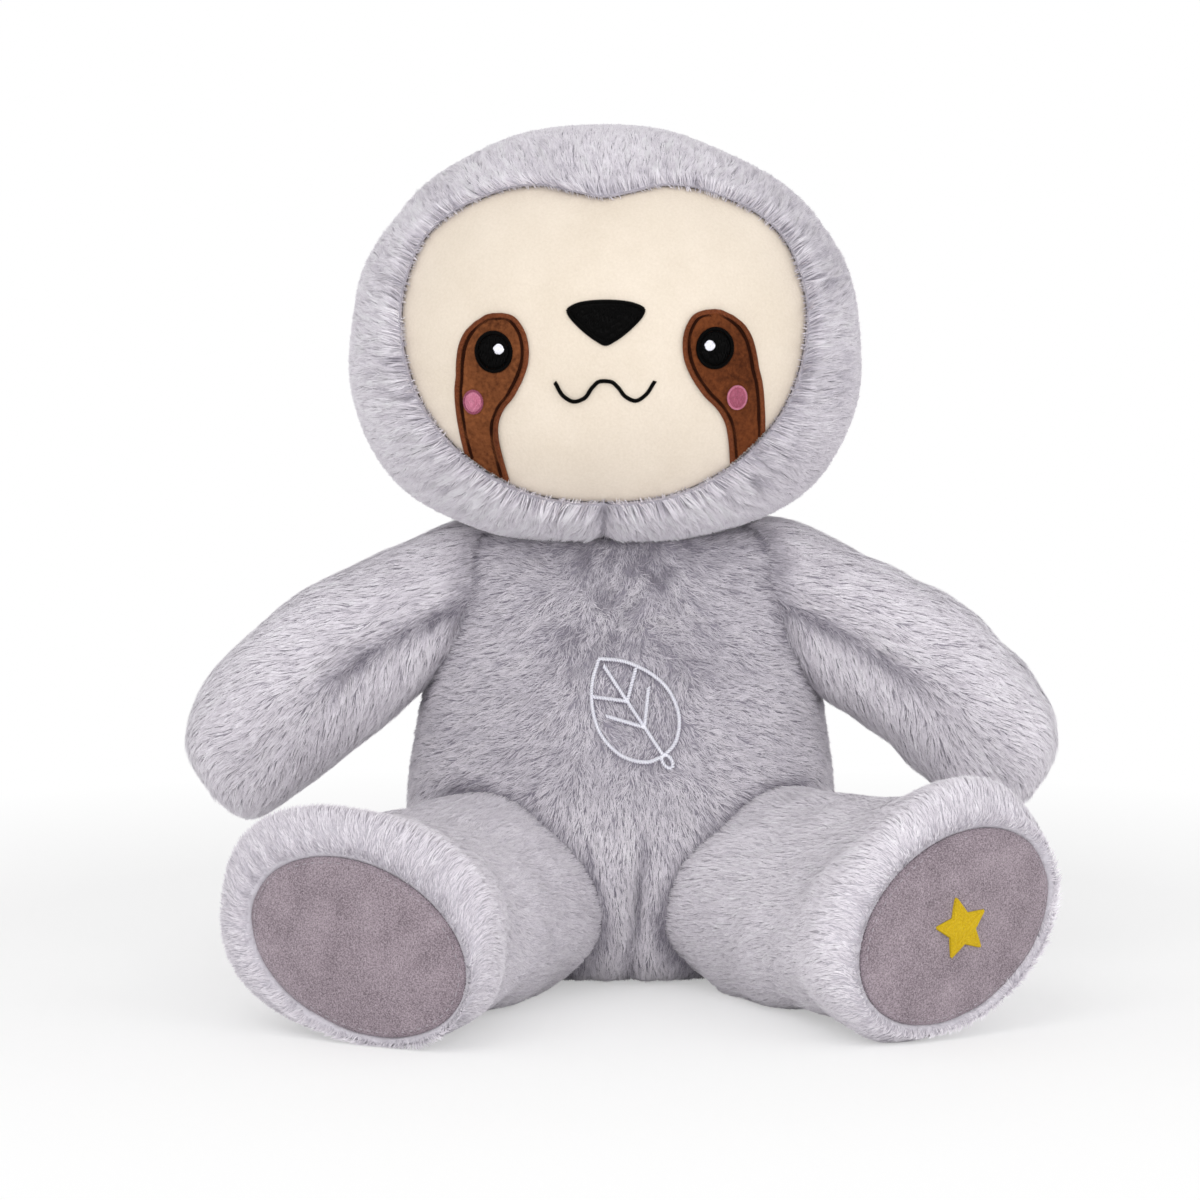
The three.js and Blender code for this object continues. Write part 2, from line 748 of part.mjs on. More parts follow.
function leafPlace(x, z) {
  const tilt = radians(leafTiltDegrees);
  return {
    x: leafX + x * Math.cos(tilt) - z * Math.sin(tilt),
    z: leafZ + x * Math.sin(tilt) + z * Math.cos(tilt),
  };
}

function makeLeaf() {
  const shares = mirrored(leafShares).reverse();
  const outline = placedOutline(shares, leafSides, 0, 0, leafHalfWidth, leafHalfLength);
  const sewn = (line, halfWidth, high, closed) => {
    const placed = line.map((p) => leafPlace(p.x, p.z));
    return sewnPiece(strip(placed, constant(placed, halfWidth), 1, closed), chestAt, gap, gap + high);
  };
  let leaf = sewn(outline, leafLine / 2, threadThickness, true);
  const lowerThread = threadThickness * leafSpineThreadShare;
  const spine = leafSpineShares.map((share) => ({ x: 0, z: share * leafHalfLength }));
  leaf = leaf.add(sewn(spine, leafLine / 2, lowerThread, false));
  for (const side of [-1, 1]) {
    for (const [from, to] of leafVeinShares) {
      const vein = [
        { x: 0, z: from * leafHalfLength },
        { x: side * leafVeinReachShare * leafHalfWidth, z: to * leafHalfLength },
      ];
      leaf = leaf.add(sewn(vein, leafLine / 2, lowerThread * leafVeinThreadShare, false));
    }
  }
  const stalkMiddle = -leafHalfLength - leafStalkLength / 2;
  const loop = oval(smallSides, 0, stalkMiddle, leafStalkHalfWidth, leafStalkLength / 2);
  leaf = leaf.add(sewn(loop, leafLine / 2, lowerThread, true));
  piece('leaf_embroidery', leaf, whiteThread, satinRoughness);
}

function makeHead() {
  const axis = new THREE.Vector3(1, 0, 0);
  const nod = (extra) => {
    const trunk = bodyForm(gap + extra, bodySides, bodyRings);
    return swept(trunk, neck, axis, -neckNodDegrees, neckNodDegrees)
      .add(socket(neck, neckRadius + socketClearance + extra));
  };
  const inside = (inset) => headForm(-inset, insideSides, insideRings);
  const skin = headForm(0, headSides, headRings).subtract(inside(plushThickness))
    .subtract(nod(0)).subtract(faceCutter(gap));
  piece('head_skin', skin, greyFur, furRoughness);
  const filling = inside(plushThickness + stuffingGap).subtract(nod(stuffingGap));
  piece('head_stuffing', filling, fillingWhite, fillingRoughness);
  const panel = sewnPiece(disc(faceOutline(0), panelRings), faceAt, -velourThickness, 0);
  piece('face_panel', panel, creamVelour, velourRoughness);
}

// A place on the face, which sits turned a little about its middle.
function onFace(x, z) {
  const turn = radians(faceTurnDegrees);
  const across = x * Math.cos(turn) - z * Math.sin(turn);
  return { x: faceX + across, z: faceZ + x * Math.sin(turn) + z * Math.cos(turn) };
}

// The tail of each patch runs down to the edge of the panel and is trimmed along it.
function eyePatch(side, top) {
  const line = patchRowShares.map(([out, down]) => {
    const across = side * (patchX + out * patchHalfWidth) + down * patchTailShift;
    return onFace(across, patchTopZ - down * patchHeight);
  });
  const widths = patchRowShares.map((row) => row[2] * patchHalfWidth);
  return sewnPiece(strip(line, widths, 4), faceAt, gap, top).intersect(faceCutter(-appliqueThickness));
}

function makeFeatures() {
  const patchTop = gap + appliqueThickness;
  const eyeTop = patchTop + gap + appliqueThickness;
  for (const { name, side } of sides) {
    piece(`eye_patch_${name}`, eyePatch(side, patchTop), brownVelour, velourRoughness);
    const eyeAt = onFace(side * eyeX, eyeZ);
    const eye = oval(smallSides, eyeAt.x, eyeAt.z, eyeHalfWidth, eyeHalfHeight);
    const sewnEye = sewnPiece(disc(eye, 2), faceAt, patchTop + gap, eyeTop);
    piece(`eye_${name}`, sewnEye, blackSatin, eyeRoughness);
    const glintAt = onFace(side * (eyeX - glintShiftX), eyeZ + glintShiftZ);
    const glint = oval(smallSides / 2, glintAt.x, glintAt.z, glintRadius, glintRadius);
    const glintTop = eyeTop + gap + threadThickness;
    const sewnGlint = sewnPiece(disc(glint, 1), faceAt, eyeTop + gap, glintTop);
    piece(`eye_glint_${name}`, sewnGlint, whiteThread, glintRoughness);
    const cheekAt = onFace(side * cheekX, cheekZ);
    const cheek = oval(smallSides, cheekAt.x, cheekAt.z, cheekHalfWidth, cheekHalfHeight);
    const sewnCheek = sewnPiece(disc(cheek, 1), faceAt, patchTop + gap, eyeTop);
    piece(`cheek_${name}`, sewnCheek, pinkSatin, satinRoughness);
  }
  const noseAt = [faceX + noseX, faceZ + noseZ];
  const nose = placedOutline(noseShares, noseSides, ...noseAt, noseHalfWidth, noseHalfHeight);
  const sewnNose = sewnPiece(disc(nose, 2), faceAt, gap, gap + appliqueThickness);
  piece('nose', sewnNose, blackSatin, noseRoughness);
  const curve = smooth(mouthShares, smallSides);
  const line = curve.map((p) => onFace(p.x * mouthHalfWidth, mouthZ + p.y * mouthHalfHeight));
  const mouthStrip = strip(line, constant(line, mouthLine / 2), 1);
  piece('mouth', sewnPiece(mouthStrip, faceAt, gap, gap + threadThickness), blackSatin, satinRoughness);
}

function limb(form, radius, cut, inset, ballMesh) {
  return form.subtract(cut).add(ball(pivot, radius - inset, ballMesh));
}

function rootCutter(radius) {
  const reach = 2 * radius;
  return box(-reach, -radius / 2, -reach, reach, -reach, reach);
}

function makeArm({ name, side }) {
  const frame = armFrame(side);
  const toLimb = frame.clone().invert();
  const axis = new THREE.Vector3(0, 1, 0);
  const [from, to] = side > 0 ? [-armLowerDegrees, armRaiseDegrees] : [-armRaiseDegrees, armLowerDegrees];
  const cut = (grow) => {
    const trunk = bodyForm(grow, bodySides, bodyRings);
    return moved(swept(trunk, shoulder(side), axis, from, to), toLimb);
  };
  const inside = (inset) => {
    const form = armForm(side, -inset, insideSides);
    return limb(form, shoulderRadius, cut(gap + inset), inset, insideSides);
  };
  const root = rootCutter(shoulderRadius);
  const outside = limb(armForm(side, 0, limbSides), shoulderRadius, cut(gap), 0, ballSides);
  const arm = new THREE.Group();
  arm.applyMatrix4(frame);
  group.add(arm);
  const skin = outside.subtract(inside(plushThickness)).subtract(root);
  piece(`arm_skin_${name}`, skin, greyFur, furRoughness, arm);
  const filling = inside(plushThickness + stuffingGap).subtract(root);
  piece(`arm_stuffing_${name}`, filling, fillingWhite, fillingRoughness, arm);
}

function makeLeg(leg) {
  const frame = legFrame(leg);
  const toLimb = frame.clone().invert();
  const axis = new THREE.Vector3(0, 0, 1);
  const [from, to] = leg.side > 0
    ? [-legInwardDegrees, legOutwardDegrees]
    : [-legOutwardDegrees, legInwardDegrees];
  const cut = (grow) => {
    const trunk = bodyForm(grow, bodySides, bodyRings);
    return moved(swept(trunk, hip(leg), axis, -to, -from), toLimb);
  };
  const inside = (inset) => {
    const form = legForm(leg, -inset, insideSides);
    return limb(form, hipRadius, cut(gap + inset), inset, insideSides);
  };
  const root = rootCutter(hipRadius);
  const outside = limb(legForm(leg, 0, legSides), hipRadius, cut(gap), 0, ballSides);
  const reach = legLength + overrun;
  const ground = box(-reach, reach, -reach, reach, -reach, -hipZ);
  const limbGroup = new THREE.Group();
  limbGroup.applyMatrix4(frame);
  group.add(limbGroup);
  const shell = outside.subtract(inside(plushThickness)).subtract(root);
  const skin = shell.subtract(ground).subtract(soleCutter(leg));
  piece(`leg_skin_${leg.name}`, skin, greyFurLeg, furRoughness, limbGroup);
  const filling = inside(plushThickness + stuffingGap).subtract(root);
  piece(`leg_stuffing_${leg.name}`, filling, fillingWhite, fillingRoughness, limbGroup);
  const surface = soleSurface(leg);
  const pad = sewnPiece(disc(soleOutline(leg, 0), soleRings), surface, -velourThickness, 0);
  piece(`foot_pad_${leg.name}`, pad, greyVelour, padRoughness, limbGroup);
  if (leg === legRight) makeStar(leg, surface, limbGroup);
}

function makeStar(leg, surface, parent) {
  const middle = soleMiddle(leg);
  const points = Array.from({ length: 2 * starPoints }, (_, corner) => {
    const angle = (Math.PI * corner) / starPoints + Math.PI / 2 + radians(starTurnDegrees);
    const reach = corner % 2 ? starInnerShare * starRadius : starRadius;
    return { x: middle.x + reach * Math.cos(angle), z: middle.z + reach * Math.sin(angle) };
  });
  const star = sewnPiece(disc(points, 2), surface, gap, gap + threadThickness);
  piece('foot_star', star, yellowThread, starRoughness, parent);
}

makeBody();
makeLeaf();
makeHead();
makeFeatures();
sides.forEach(makeArm);
legs.forEach(makeLeg);

export default group;
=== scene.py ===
import math

import bpy
import numpy as np
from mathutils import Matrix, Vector
from mathutils.kdtree import KDTree


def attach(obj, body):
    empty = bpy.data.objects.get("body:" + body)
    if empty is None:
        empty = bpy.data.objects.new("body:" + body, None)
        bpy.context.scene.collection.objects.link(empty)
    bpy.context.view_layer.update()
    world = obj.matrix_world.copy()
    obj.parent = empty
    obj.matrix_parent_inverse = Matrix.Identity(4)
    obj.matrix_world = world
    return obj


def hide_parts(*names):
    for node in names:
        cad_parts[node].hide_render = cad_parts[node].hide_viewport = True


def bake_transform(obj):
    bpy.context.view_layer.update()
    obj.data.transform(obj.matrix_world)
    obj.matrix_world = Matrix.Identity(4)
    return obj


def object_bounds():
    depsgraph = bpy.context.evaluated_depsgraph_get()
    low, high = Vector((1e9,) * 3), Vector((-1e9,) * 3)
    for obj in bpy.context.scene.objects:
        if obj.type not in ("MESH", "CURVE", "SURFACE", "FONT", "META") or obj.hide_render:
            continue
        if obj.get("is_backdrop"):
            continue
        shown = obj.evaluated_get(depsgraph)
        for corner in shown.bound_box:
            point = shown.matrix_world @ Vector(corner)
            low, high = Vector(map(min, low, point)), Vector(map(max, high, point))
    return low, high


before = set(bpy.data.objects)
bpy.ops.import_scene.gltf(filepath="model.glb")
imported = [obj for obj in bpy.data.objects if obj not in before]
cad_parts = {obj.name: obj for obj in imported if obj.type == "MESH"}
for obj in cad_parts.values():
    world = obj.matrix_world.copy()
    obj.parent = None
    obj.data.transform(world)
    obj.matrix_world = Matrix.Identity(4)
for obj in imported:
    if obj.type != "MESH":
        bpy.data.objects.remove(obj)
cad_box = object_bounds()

# Lengths are in millimetres and angles in degrees until a mesh is made. The origin is on the floor
# under the body, +Z is up and the toy looks along -Y. Left and right are as seen from the front.
# A band is a pair of places between which something fades in or out.

METRE = 1000
SIDES = {"left": -1, "right": 1}
FAR = 99.0
TINY = 1e-9
LEAST_SHARE = 1e-3
CURVE_STEPS = 24
BATCH = 4000

# Body
BODY_HEIGHT = 190
BODY_HALF_WIDTH = 92
BODY_FRONT_DEPTH = 70
BODY_BACK_DEPTH = 68
BODY_POWER = 2.25
BODY_TOP_DEPTH_SHARE = 0.86
BODY_SHARES = [
    (0, 0), (0.52, 0.004), (0.74, 0.035), (0.9, 0.12), (0.985, 0.24), (0.98, 0.38),
    (0.93, 0.55), (0.85, 0.72), (0.78, 0.86), (0.69, 0.955), (0.35, 0.995), (0, 1),
]
BODY_PROFILE_STEPS = 120
BODY_RINGS = 92
BODY_CORNERS = 128
BODY_LEAST_WIDTH_SHARE = 0.02
BODY_FLAT_BAND = (4, 20)
FLOOR_CUT = 0.5
BACK_SEAM_X = -3.5
BACK_SEAM_DEPTH = 1.2
BACK_SEAM_REACH = 1.8
BACK_SEAM_BAND = (10, 25)
CROTCH_DEPTH = 7.5
CROTCH_REACH = 2.5
CROTCH_X = 2.5
CROTCH_SHIFT = 6.5
CROTCH_RISE_BAND = (0, 65)
CROTCH_BAND = (40, 78)
CROTCH_SHADE_BAND = (55, 75)
CROTCH_FOLD = 1.5
CROTCH_FOLD_X = -14
CROTCH_FOLD_REACH = 5
BELLY_BAND = (-50, -20)

# Head
HEAD_CENTRE = (-7, -4, 257)
HEAD_HALF_WIDTH = 106.5
HEAD_RISE = 98
HEAD_DROP = 77
HEAD_FRONT_DEPTH = 84
HEAD_BACK_DEPTH = 80
HEAD_TOP_POWER = 2.02
HEAD_BOTTOM_POWER = 2.42
HEAD_HALVINGS = 26
HEAD_RINGS = 78
HEAD_CORNERS = 150
HEAD_RING_SHARES = (0.004, 0.995)
HEAD_EDGE_GROW = 0.6
HEAD_RIM_LIFTS = (-1.5, 1.6)
HEAD_BED_BAND = (0, 0.05)
HEAD_RIPPLE_BAND = (0.02, 0.12)
CROWN_SHIFT = 3
CROWN_BAND = (318, 350)
CHIN_GROOVE_DEPTH = 2.0
CHIN_GROOVE_REACH = 2.6
CHIN_BAND = (200, 212)
CHIN_FRONT_BAND = (-40, -10)

# Face panel
FACE_X = -7.5
FACE_Z = 268.3
FACE_TURN = 1
FACE_HALF_WIDTH = 82
FACE_HALF_HEIGHT = 63.5
FACE_SINK = 4
FACE_SWELL = 5.5
FACE_SHARES = [
    (0, 0.912), (0.13, 0.94), (0.285, 0.98), (0.443, 0.966), (0.6, 0.9), (0.76, 0.794),
    (0.89, 0.632), (0.963, 0.427), (0.998, 0.2), (0.97, -0.14), (0.88, -0.425), (0.73, -0.665),
    (0.546, -0.848), (0.3, -0.98), (0, -1.02),
]
FACE_CORNERS = 300
FACE_RINGS = 46
FACE_GROW = 0.3
FACE_EDGE = 3.0
FACE_EDGE_DROP = 0.9
FACE_PUCKERS = [(1, 47, 0), (0.6, 31, 1)]
FACE_PUCKER_DEPTH = 0.16
FACE_PUCKER_REACH = 4
PUCKER_INSET = 3
FACE_EDGE_CORNERS = 400
VELOUR = 2.4
LEAST_DISC_SHARE = 0.02
GAP = 0.3

# Sewn pieces on the face
EYE_X = 44.6
EYE_Z = -1.7
EYE_HALF_WIDTH = 7.8
EYE_HALF_HEIGHT = 8.6
GLINT_IN = 2.1
GLINT_UP = 1.2
GLINT_RADIUS = 2.3
GLINT_HEIGHT_SHARE = 1.08
CHEEK_X = 53.3
CHEEK_Z = -22.2
CHEEK_HALF_WIDTH = 4
CHEEK_HALF_HEIGHT = 4.9
CHEEK_FILL_INSET = 0.5
CHEEK_BORDER_INSET = 0.3
PATCH_X = 43
PATCH_TOP_Z = 13.8
PATCH_HEIGHT = 68
PATCH_HALF_WIDTH = 14.5
PATCH_TAIL_SHIFT = 2.6
PATCH_TAIL_CURLS = {"left": 5, "right": 0}
PATCH_CURL_POWER = 3
PATCH_ROW_SHARES = [
    (0, 0, 0.12), (0, 0.02, 0.4), (0, 0.06, 0.64), (0.03, 0.12, 0.84), (0.09, 0.18, 0.95),
    (0.18, 0.25, 1), (0.3, 0.33, 0.97), (0.44, 0.41, 0.89), (0.61, 0.49, 0.78), (0.73, 0.57, 0.67),
    (0.81, 0.66, 0.58), (0.84, 0.78, 0.53), (0.85, 1.1, 0.52),
]
PATCH_ROWS = 110
PATCH_COLUMNS = 25
PATCH_EDGE_ROWS = 120
PATCH_EDGE_STEPS = 400
PATCH_TOP_ROWS = 6.0
PATCH_LEAST_HALF_WIDTH = 0.05
PATCH_LIFT = 1.2
PATCH_CROWN = 0.5
PATCH_CROWN_POWER = 4
PATCH_CLOTH_TUCK = -0.5
PATCH_THREAD_TUCK = -0.8
EYE_LIFT = PATCH_LIFT + PATCH_CROWN
NOSE_X = 0.6
NOSE_Z = 9.5
NOSE_HALF_WIDTH = 16.4
NOSE_HALF_HEIGHT = 9
NOSE_SHARES = [
    (0, -1.02), (0.24, -0.82), (0.62, -0.3), (0.93, 0.32), (0.96, 0.66), (0.7, 0.9), (0.3, 1.02),
    (-0.3, 1.02), (-0.7, 0.9), (-0.96, 0.62), (-0.93, 0.32), (-0.62, -0.3), (-0.24, -0.82),
]
NOSE_CORNERS = 160
NOSE_FILL_SHARE = 0.8
MOUTH_Z = -18
MOUTH_HALF_WIDTH = 20
MOUTH_HALF_HEIGHT = 4
MOUTH_SHARES = [
    (-1, 0.95), (-0.82, -0.5), (-0.62, -1), (-0.44, -0.72), (-0.24, 0.5), (-0.08, 1.05), (0.1, 1),
    (0.26, 0.4), (0.42, -0.6), (0.61, -1.02), (0.8, -0.5), (1, 0.9),
]
MOUTH_STEPS = 140

# Leaf on the chest
LEAF_X = 3.5
LEAF_Z = 118
LEAF_HALF_LENGTH = 23.5
LEAF_HALF_WIDTH = 16.5
LEAF_TILT = 34
LEAF_LIFT = 1.3
LEAF_SPINE_SHARES = (-1, 0.84)
LEAF_VEIN_SHARES = [(-0.42, 0.1), (0.12, 0.5)]
LEAF_VEIN_REACH_SHARE = 0.62
LEAF_STALK_LENGTH = 6.2
LEAF_STALK_HALF_WIDTH = 1.8
LEAF_SHARES = [(0, 1), (0.5, 0.7), (0.88, 0.25), (1, -0.15), (0.86, -0.6), (0.45, -0.93), (0, -1.02)]
LEAF_STEPS = 80
LEAF_LINE_STEPS = 120
LEAF_BARE_SHARE = 0.45
LEAF_NEAR_SHARE = 2

# Arms, each in a frame at the shoulder whose +X runs down the arm
SHOULDER = (71, 1, 157)
ARM_LENGTH = 130
ARM_HALF_HEIGHT = 31.5
ARM_HALF_DEPTH = 31
ARM_DROP = 37
ARM_FORWARD = 12
ARM_BEND = 8.5
ARM_SEAM_DEPTH = 5.5
ARM_SEAM_SPREAD = 0.42
ARM_SEAM_END_BAND = (0.45, 0.7)
ARM_SEAM_END_SHARE = 0.5
ARM_SHARES = [
    (-0.25, 0.76), (-0.18, 0.87), (-0.1, 0.92), (0, 0.93), (0.1, 0.95), (0.24, 0.99), (0.42, 1.03),
    (0.6, 1.04), (0.75, 1), (0.87, 0.89), (0.95, 0.7), (0.99, 0.4), (1, 0.02),
]
ARM_CORNERS = 88
ARM_RINGS = 62
ARM_JOINT_SPAN = (8, 52)
PAW_TIP_SHARE = 1 / 3

# Legs, each in a frame at the hip whose +X runs to the sole
HIP_Y = -35
HIP_Z = 43.5
THIGH_HALF_LENGTH = 45
THIGH_HALF_WIDTH = 37
THIGH_ROLL = 42
LEG_LENGTH = 149
LEG_POWER = 2.4
LEG_ROWS = [
    (0.02, 0.92, 0.08), (0.14, 0.98, 0.11), (0.3, 0.96, 0.11), (0.46, 0.92, 0.11), (0.61, 0.9, 0.09),
    (0.74, 0.93, 0.05), (0.88, 1, 0), (0.955, 0.985, 0), (0.988, 0.945, 0),
]
LEG_CORNERS = 104
LEG_RINGS = 74
LEG_JOINT_SPAN = (10, 60)
LEG_RIPPLE_BAND = (6, 25)
LEG_GAP_SHARES = (-0.25, 0.98)
LEG_GAP_STEPS = 32
LEG_GAP_CORNERS = 72
LEG_GAP_REACH_SHARE = 0.02
FOOT_SHARE = 0.88
FOOT_CORNERS = 18
SOLE_SINK = 1.5
SOLE_SWELL = 3
SOLE_RIMS = [(-0.6, 4.0), (0.2, 2.2), (1.8, 0.6), (3.6, -0.4)]
SOLE_RIM_DEPTH = 6
SOLE_RIM_CORNERS = 180
SOLE_BARE_GROW = 0.8
SOLE_BARE_DEPTH = 12
SOLE_BARE_CORNERS = 120
SOLE_CORNERS = 200
SOLE_RINGS = 34
SOLE_GROW = 0.4
SOLE_EDGE = 3.2
SOLE_EDGE_DROP = 1.6
SOLE_PUCKERS = [(1, 41, 0)]
SOLE_PUCKER_DEPTH = 0.14
SOLE_PUCKER_REACH = 3
SOLE_SEAM_INSET = 1.7
SOLE_SEAM_CORNERS = 400
# Each leg's tone is lower on the left, as painted shade on the left leg
LEGS = {
    "left": dict(
        side=-1, tone=4.3, hip=-42, spread=27, foot_half_length=60, foot_half_width=44.5, foot_roll=8,
        sole_half_length=48.8, sole_half_width=33, sole_roll=16.5, sole_shift=4.5, sole_drop=6.5,
    ),
    "right": dict(
        side=1, tone=4.9, hip=49, spread=32.2, foot_half_length=57, foot_half_width=41.5, foot_roll=36,
        sole_half_length=47.5, sole_half_width=34.5, sole_roll=28, sole_shift=4.5, sole_drop=5.2,
    ),
}
STAR_RADIUS = 13
STAR_TURN = 12
STAR_POINTS = 5
STAR_INNER_SHARE = 0.5
STAR_STITCHED_SHARE = 0.93
STAR_CORNERS = 200

# How full each soft piece is stuffed
FILLS = {"head": 0.9, "face": 0.8, "body": 0.8, "arm": 0.75, "leg": 0.8, "sole": 0.7}

# Each furry part: the cloth under its pile, how many of its two ends are open and how many rows of
# faces are bare at the first end, the kind of pile, the width of a strand and the seed
PARTS = {
    "head": ("cloth_under_grey_fur", 1, 1, "grey_fur", 0.34, 17),
    "body": ("cloth_under_body_fur", 0, 0, "grey_fur", 0.3, 27),
    "arm": ("cloth_under_grey_fur", 0, 0, "grey_fur", 0.37, 47),
    "leg": ("cloth_under_pale_fur", 0, 1, "pale_grey_fur", 0.4, 67),
}

# Pile: how long a strand is and how many stand on a square millimetre
PILE_LENGTH = 7.5
PILE_DENSITY = 2.2
PILE_BED = 1.0
MOST_STRANDS = 60000
LOCK_SPACING = 4.2
STRAND_SPACING = 1.1
BUNDLE_WIDTH = 4.5
BUNDLE_LENGTH = 12
LEAN_WIDTH_SHARE = 1.3
BUNDLE_WAVES = 44
MOST_BUNDLE = 2.2

# How one strand differs from the next, with turns in radians
STRAND_STRAY = 0.06
LOCK_STRAY = 0.05
LEAN_STRAY = 0.1
RIDGE_RISE_SHARE = 0.25
STRAND_RISE = 0.03
LENGTH_SHARES = (0.75, 1.1)
ROOT_CURL = 0.26
ROOT_RISES = (0.06, 1.4)
TIP_CURL = 0.12
TIP_RISES = (0.01, 1.3)
MOST_SINK = 0.6
SINK_SHARE = 0.09
DRAW_SHARES = (0.15, 0.6)
BEND_DRAW_SHARE = 0.35
TWIST = 0.15
LEAN_SHADING = 0.22
RIDGE_SHADING = 0.16
WIDTH_SHARES = (0.7, 1.3)
BEND_WIDTH_SHARE = 0.8
LEAST_HEIGHT = 0.1
# Painted light on raised ridges of the pile and painted shade in its hollows, then random tones for each
# lock and strand
RIDGE_LIGHT_AND_SHADE = 0.5
LOCK_TONE = 0.18
STRAND_TONE = 0.3
OVER_SHARE = 0.45
OVER_LENGTH = 2.6

# Where the pile grows: how far into a neighbour, at most, and how far above the floor, at least
INTO_HEAD = -6
INTO_BODY = -5
INTO_ARM = -4
INTO_LEG = -5
HEAD_INTO_BODY = -7
BODY_ABOVE_FLOOR = 1
LEG_ABOVE_FLOOR = 0.6
# How far painted shade reaches from where another part touches, and from the head at the neck
CREASE_REACH = 5
NECK_CREASE_REACH = 12

# Pile of the head
HEAD_LENGTHS = dict(plain=1.3, away=-0.2)
HEAD_TOP_SHORTER_SHARE = 0.25
HEAD_LIFTS = dict(plain=0.1, edge=0.2)
HEAD_TOP_FLATTER_SHARE = 0.4
# Tones of the head's pile: painted shade by the face's edge, along the part under the chin, on the right
# side and in the back seam, and painted light under the chin
HEAD_TONES = dict(
    plain=4.6, edge=-0.9, away=0.3, chin=0.5, chin_part=-1.6, right=-0.9, back_seam=-1.2,
)
HEAD_CONTRASTS = dict(plain=1.15, away=-0.85)
HEAD_BACK_LIE = (0, 0.1, -1.0)
HEAD_BACK_BAND = (0, 60)
HEAD_TOP_BAND = (300, 335)
HEAD_LENGTH_BAND = (12, 30)
HEAD_TONE_BAND = (10, 26)
HEAD_CONTRAST_BAND = (12, 26)
HEAD_RIGHT_SHADE_BAND = (20, 80)
HEAD_EDGE_LIFT_REACH = 5
HEAD_EDGE_SHADE_REACH = 2.5
HEAD_OVER_REACH = 1.1
HEAD_SEEN_FROM_FRONT = 20
UNDER_CHIN_BAND = (203, 212)
CHIN_PART_REACH = 16
CHIN_PART_FLOW = 0.5
CHIN_PART_LINE = 2

# Pile of the body
BODY_LENGTHS = dict(plain=0.75, chest=-0.12)
BODY_PRESSED_SHORTER_SHARE = 0.35
LEAF_LENGTH_SHARE = 0.8
BODY_LIFTS = dict(plain=0.26, chest=0.2)
BODY_PRESSED_FLATTER_SHARE = 0.65
# Tones of the body's pile: below the head's as painted shade on the front, lifted at the back; painted shade
# on the chest under the head, in mottled patches, where legs, arms and head meet, in the crotch and back
# seams; painted light low down
BODY_TONES = dict(
    plain=3.4, chest=-0.45, dark=-1.75, low=0.9, leg=-3.4, arm=-2.4, head=-1.2,
    crotch=-2.6, back_seam=-1.2, back=1.1,
)
BODY_CONTRASTS = dict(plain=0.6, chest=0.5)
BODY_UNRULY = dict(plain=0.1, wild=0.55)
BODY_AROUND_FLOW = 1.3
BODY_AROUND_LESS_SHARE = 0.45
BODY_TURN_BAND = (0.1, 0.8)
BODY_TURN_BACK_BAND = (1.6, 2.6)
BODY_AROUND_BAND = (45, 95)
WILD_X = 4
WILD_REACH = 40
WILD_BAND = (60, 100)
LEAF_PRESS_REACH = 4.5
CHEST_MIDDLE = (6, 150)
CHEST_REACH = 34
CHEST_FRONT_BAND = (-40, 0)
MOTTLE_LEVEL = 0.2
MOST_MOTTLE = 1.6
BODY_LOW_LIGHT_BAND = (60, 95)
BODY_BACK_BAND = (0, 45)

# Pile of the arms
ARM_LENGTHS = dict(plain=0.92, seam=-0.184)
ARM_LIFTS = dict(plain=0.16, seam=0.2)
# Tones of the arms' pile: painted shade in the cleft of the front seam and where the arm meets the body,
# painted light away from the seam
ARM_TONES = dict(plain=4.5, seam=-3.2, away=0.6, body=-2.0)
ARM_CONTRASTS = dict(plain=0.4, seam=0.5)
ARM_SEAM_REACH = 0.12
ARM_LIFT_REACH = 0.4
ARM_CONTRAST_REACH = 0.6
ARM_AWAY_BAND = (0.4, 1.5)
ARM_ROOT_BAND = (-0.1, 0.1)
ARM_PAW_BAND = (0.4, 0.6)
ARM_PAW_SHARE = 0.9
ARM_TURNS = dict(plain=0.12, paw=0.5)
ARM_TURN_BAND = (0.45, 0.75)
ARM_PART_REACH = 1.7
ARM_PART_POWER = 4
ARM_UPPER_SHARE = 0.5
ARM_FLOWS = dict(along=0.9, around=0.75, tip=-0.5)
ARM_TIP_BAND = (0.86, 0.98)
ARM_BEHIND = 3

# Pile of the legs
LEG_LENGTHS = dict(plain=0.9, rim=-0.32)
LEG_LIFTS = dict(plain=0.14, rim=0.06)
# Tones of the legs' pile: painted shade by the sole's edge and where the leg meets the body, and a little
# darker on the rim round the sole
LEG_TONES = dict(edge=-0.9, body=-2.4, rim=-0.2)
LEG_CONTRASTS = dict(plain=0.42, rim=0.4)
LEG_DROP_FLOW = 0.18
LEG_DROP_BAND = (4, 16)
LEG_RIM_BAND = (8, 22)
LEG_RIM_REACH = 6
LEG_EDGE_SHADE_REACH = 2
LEG_OVER_REACH = 1.5

# Wandering values: how strong each is, how far it is from mark to mark, and its seed
RIPPLES = {
    "stray": (0.12, 26, 7), "tone": (0.3, 26, 9), "speck": (0.2, 9, 10), "head": (0.5, 45, 12),
    "face": (0.35, 38, 13), "patch": (0.12, 9, 15), "body": (0.9, 50, 19), "wild_across": (0.6, 22, 20),
    "wild_up": (0.5, 20, 21), "mottle": (1, 15, 22), "arm": (0.8, 34, 37), "leg": (0.9, 42, 57),
    "sole": (0.35, 24, 77),
}
RIPPLE_WAVES = 8
WAVE_SHARES = (0.6, 1.7)
RIDGE_SEED = 7
LEAN_SEED = 8
THREAD_SEED = 7
STAR_SEED = 10

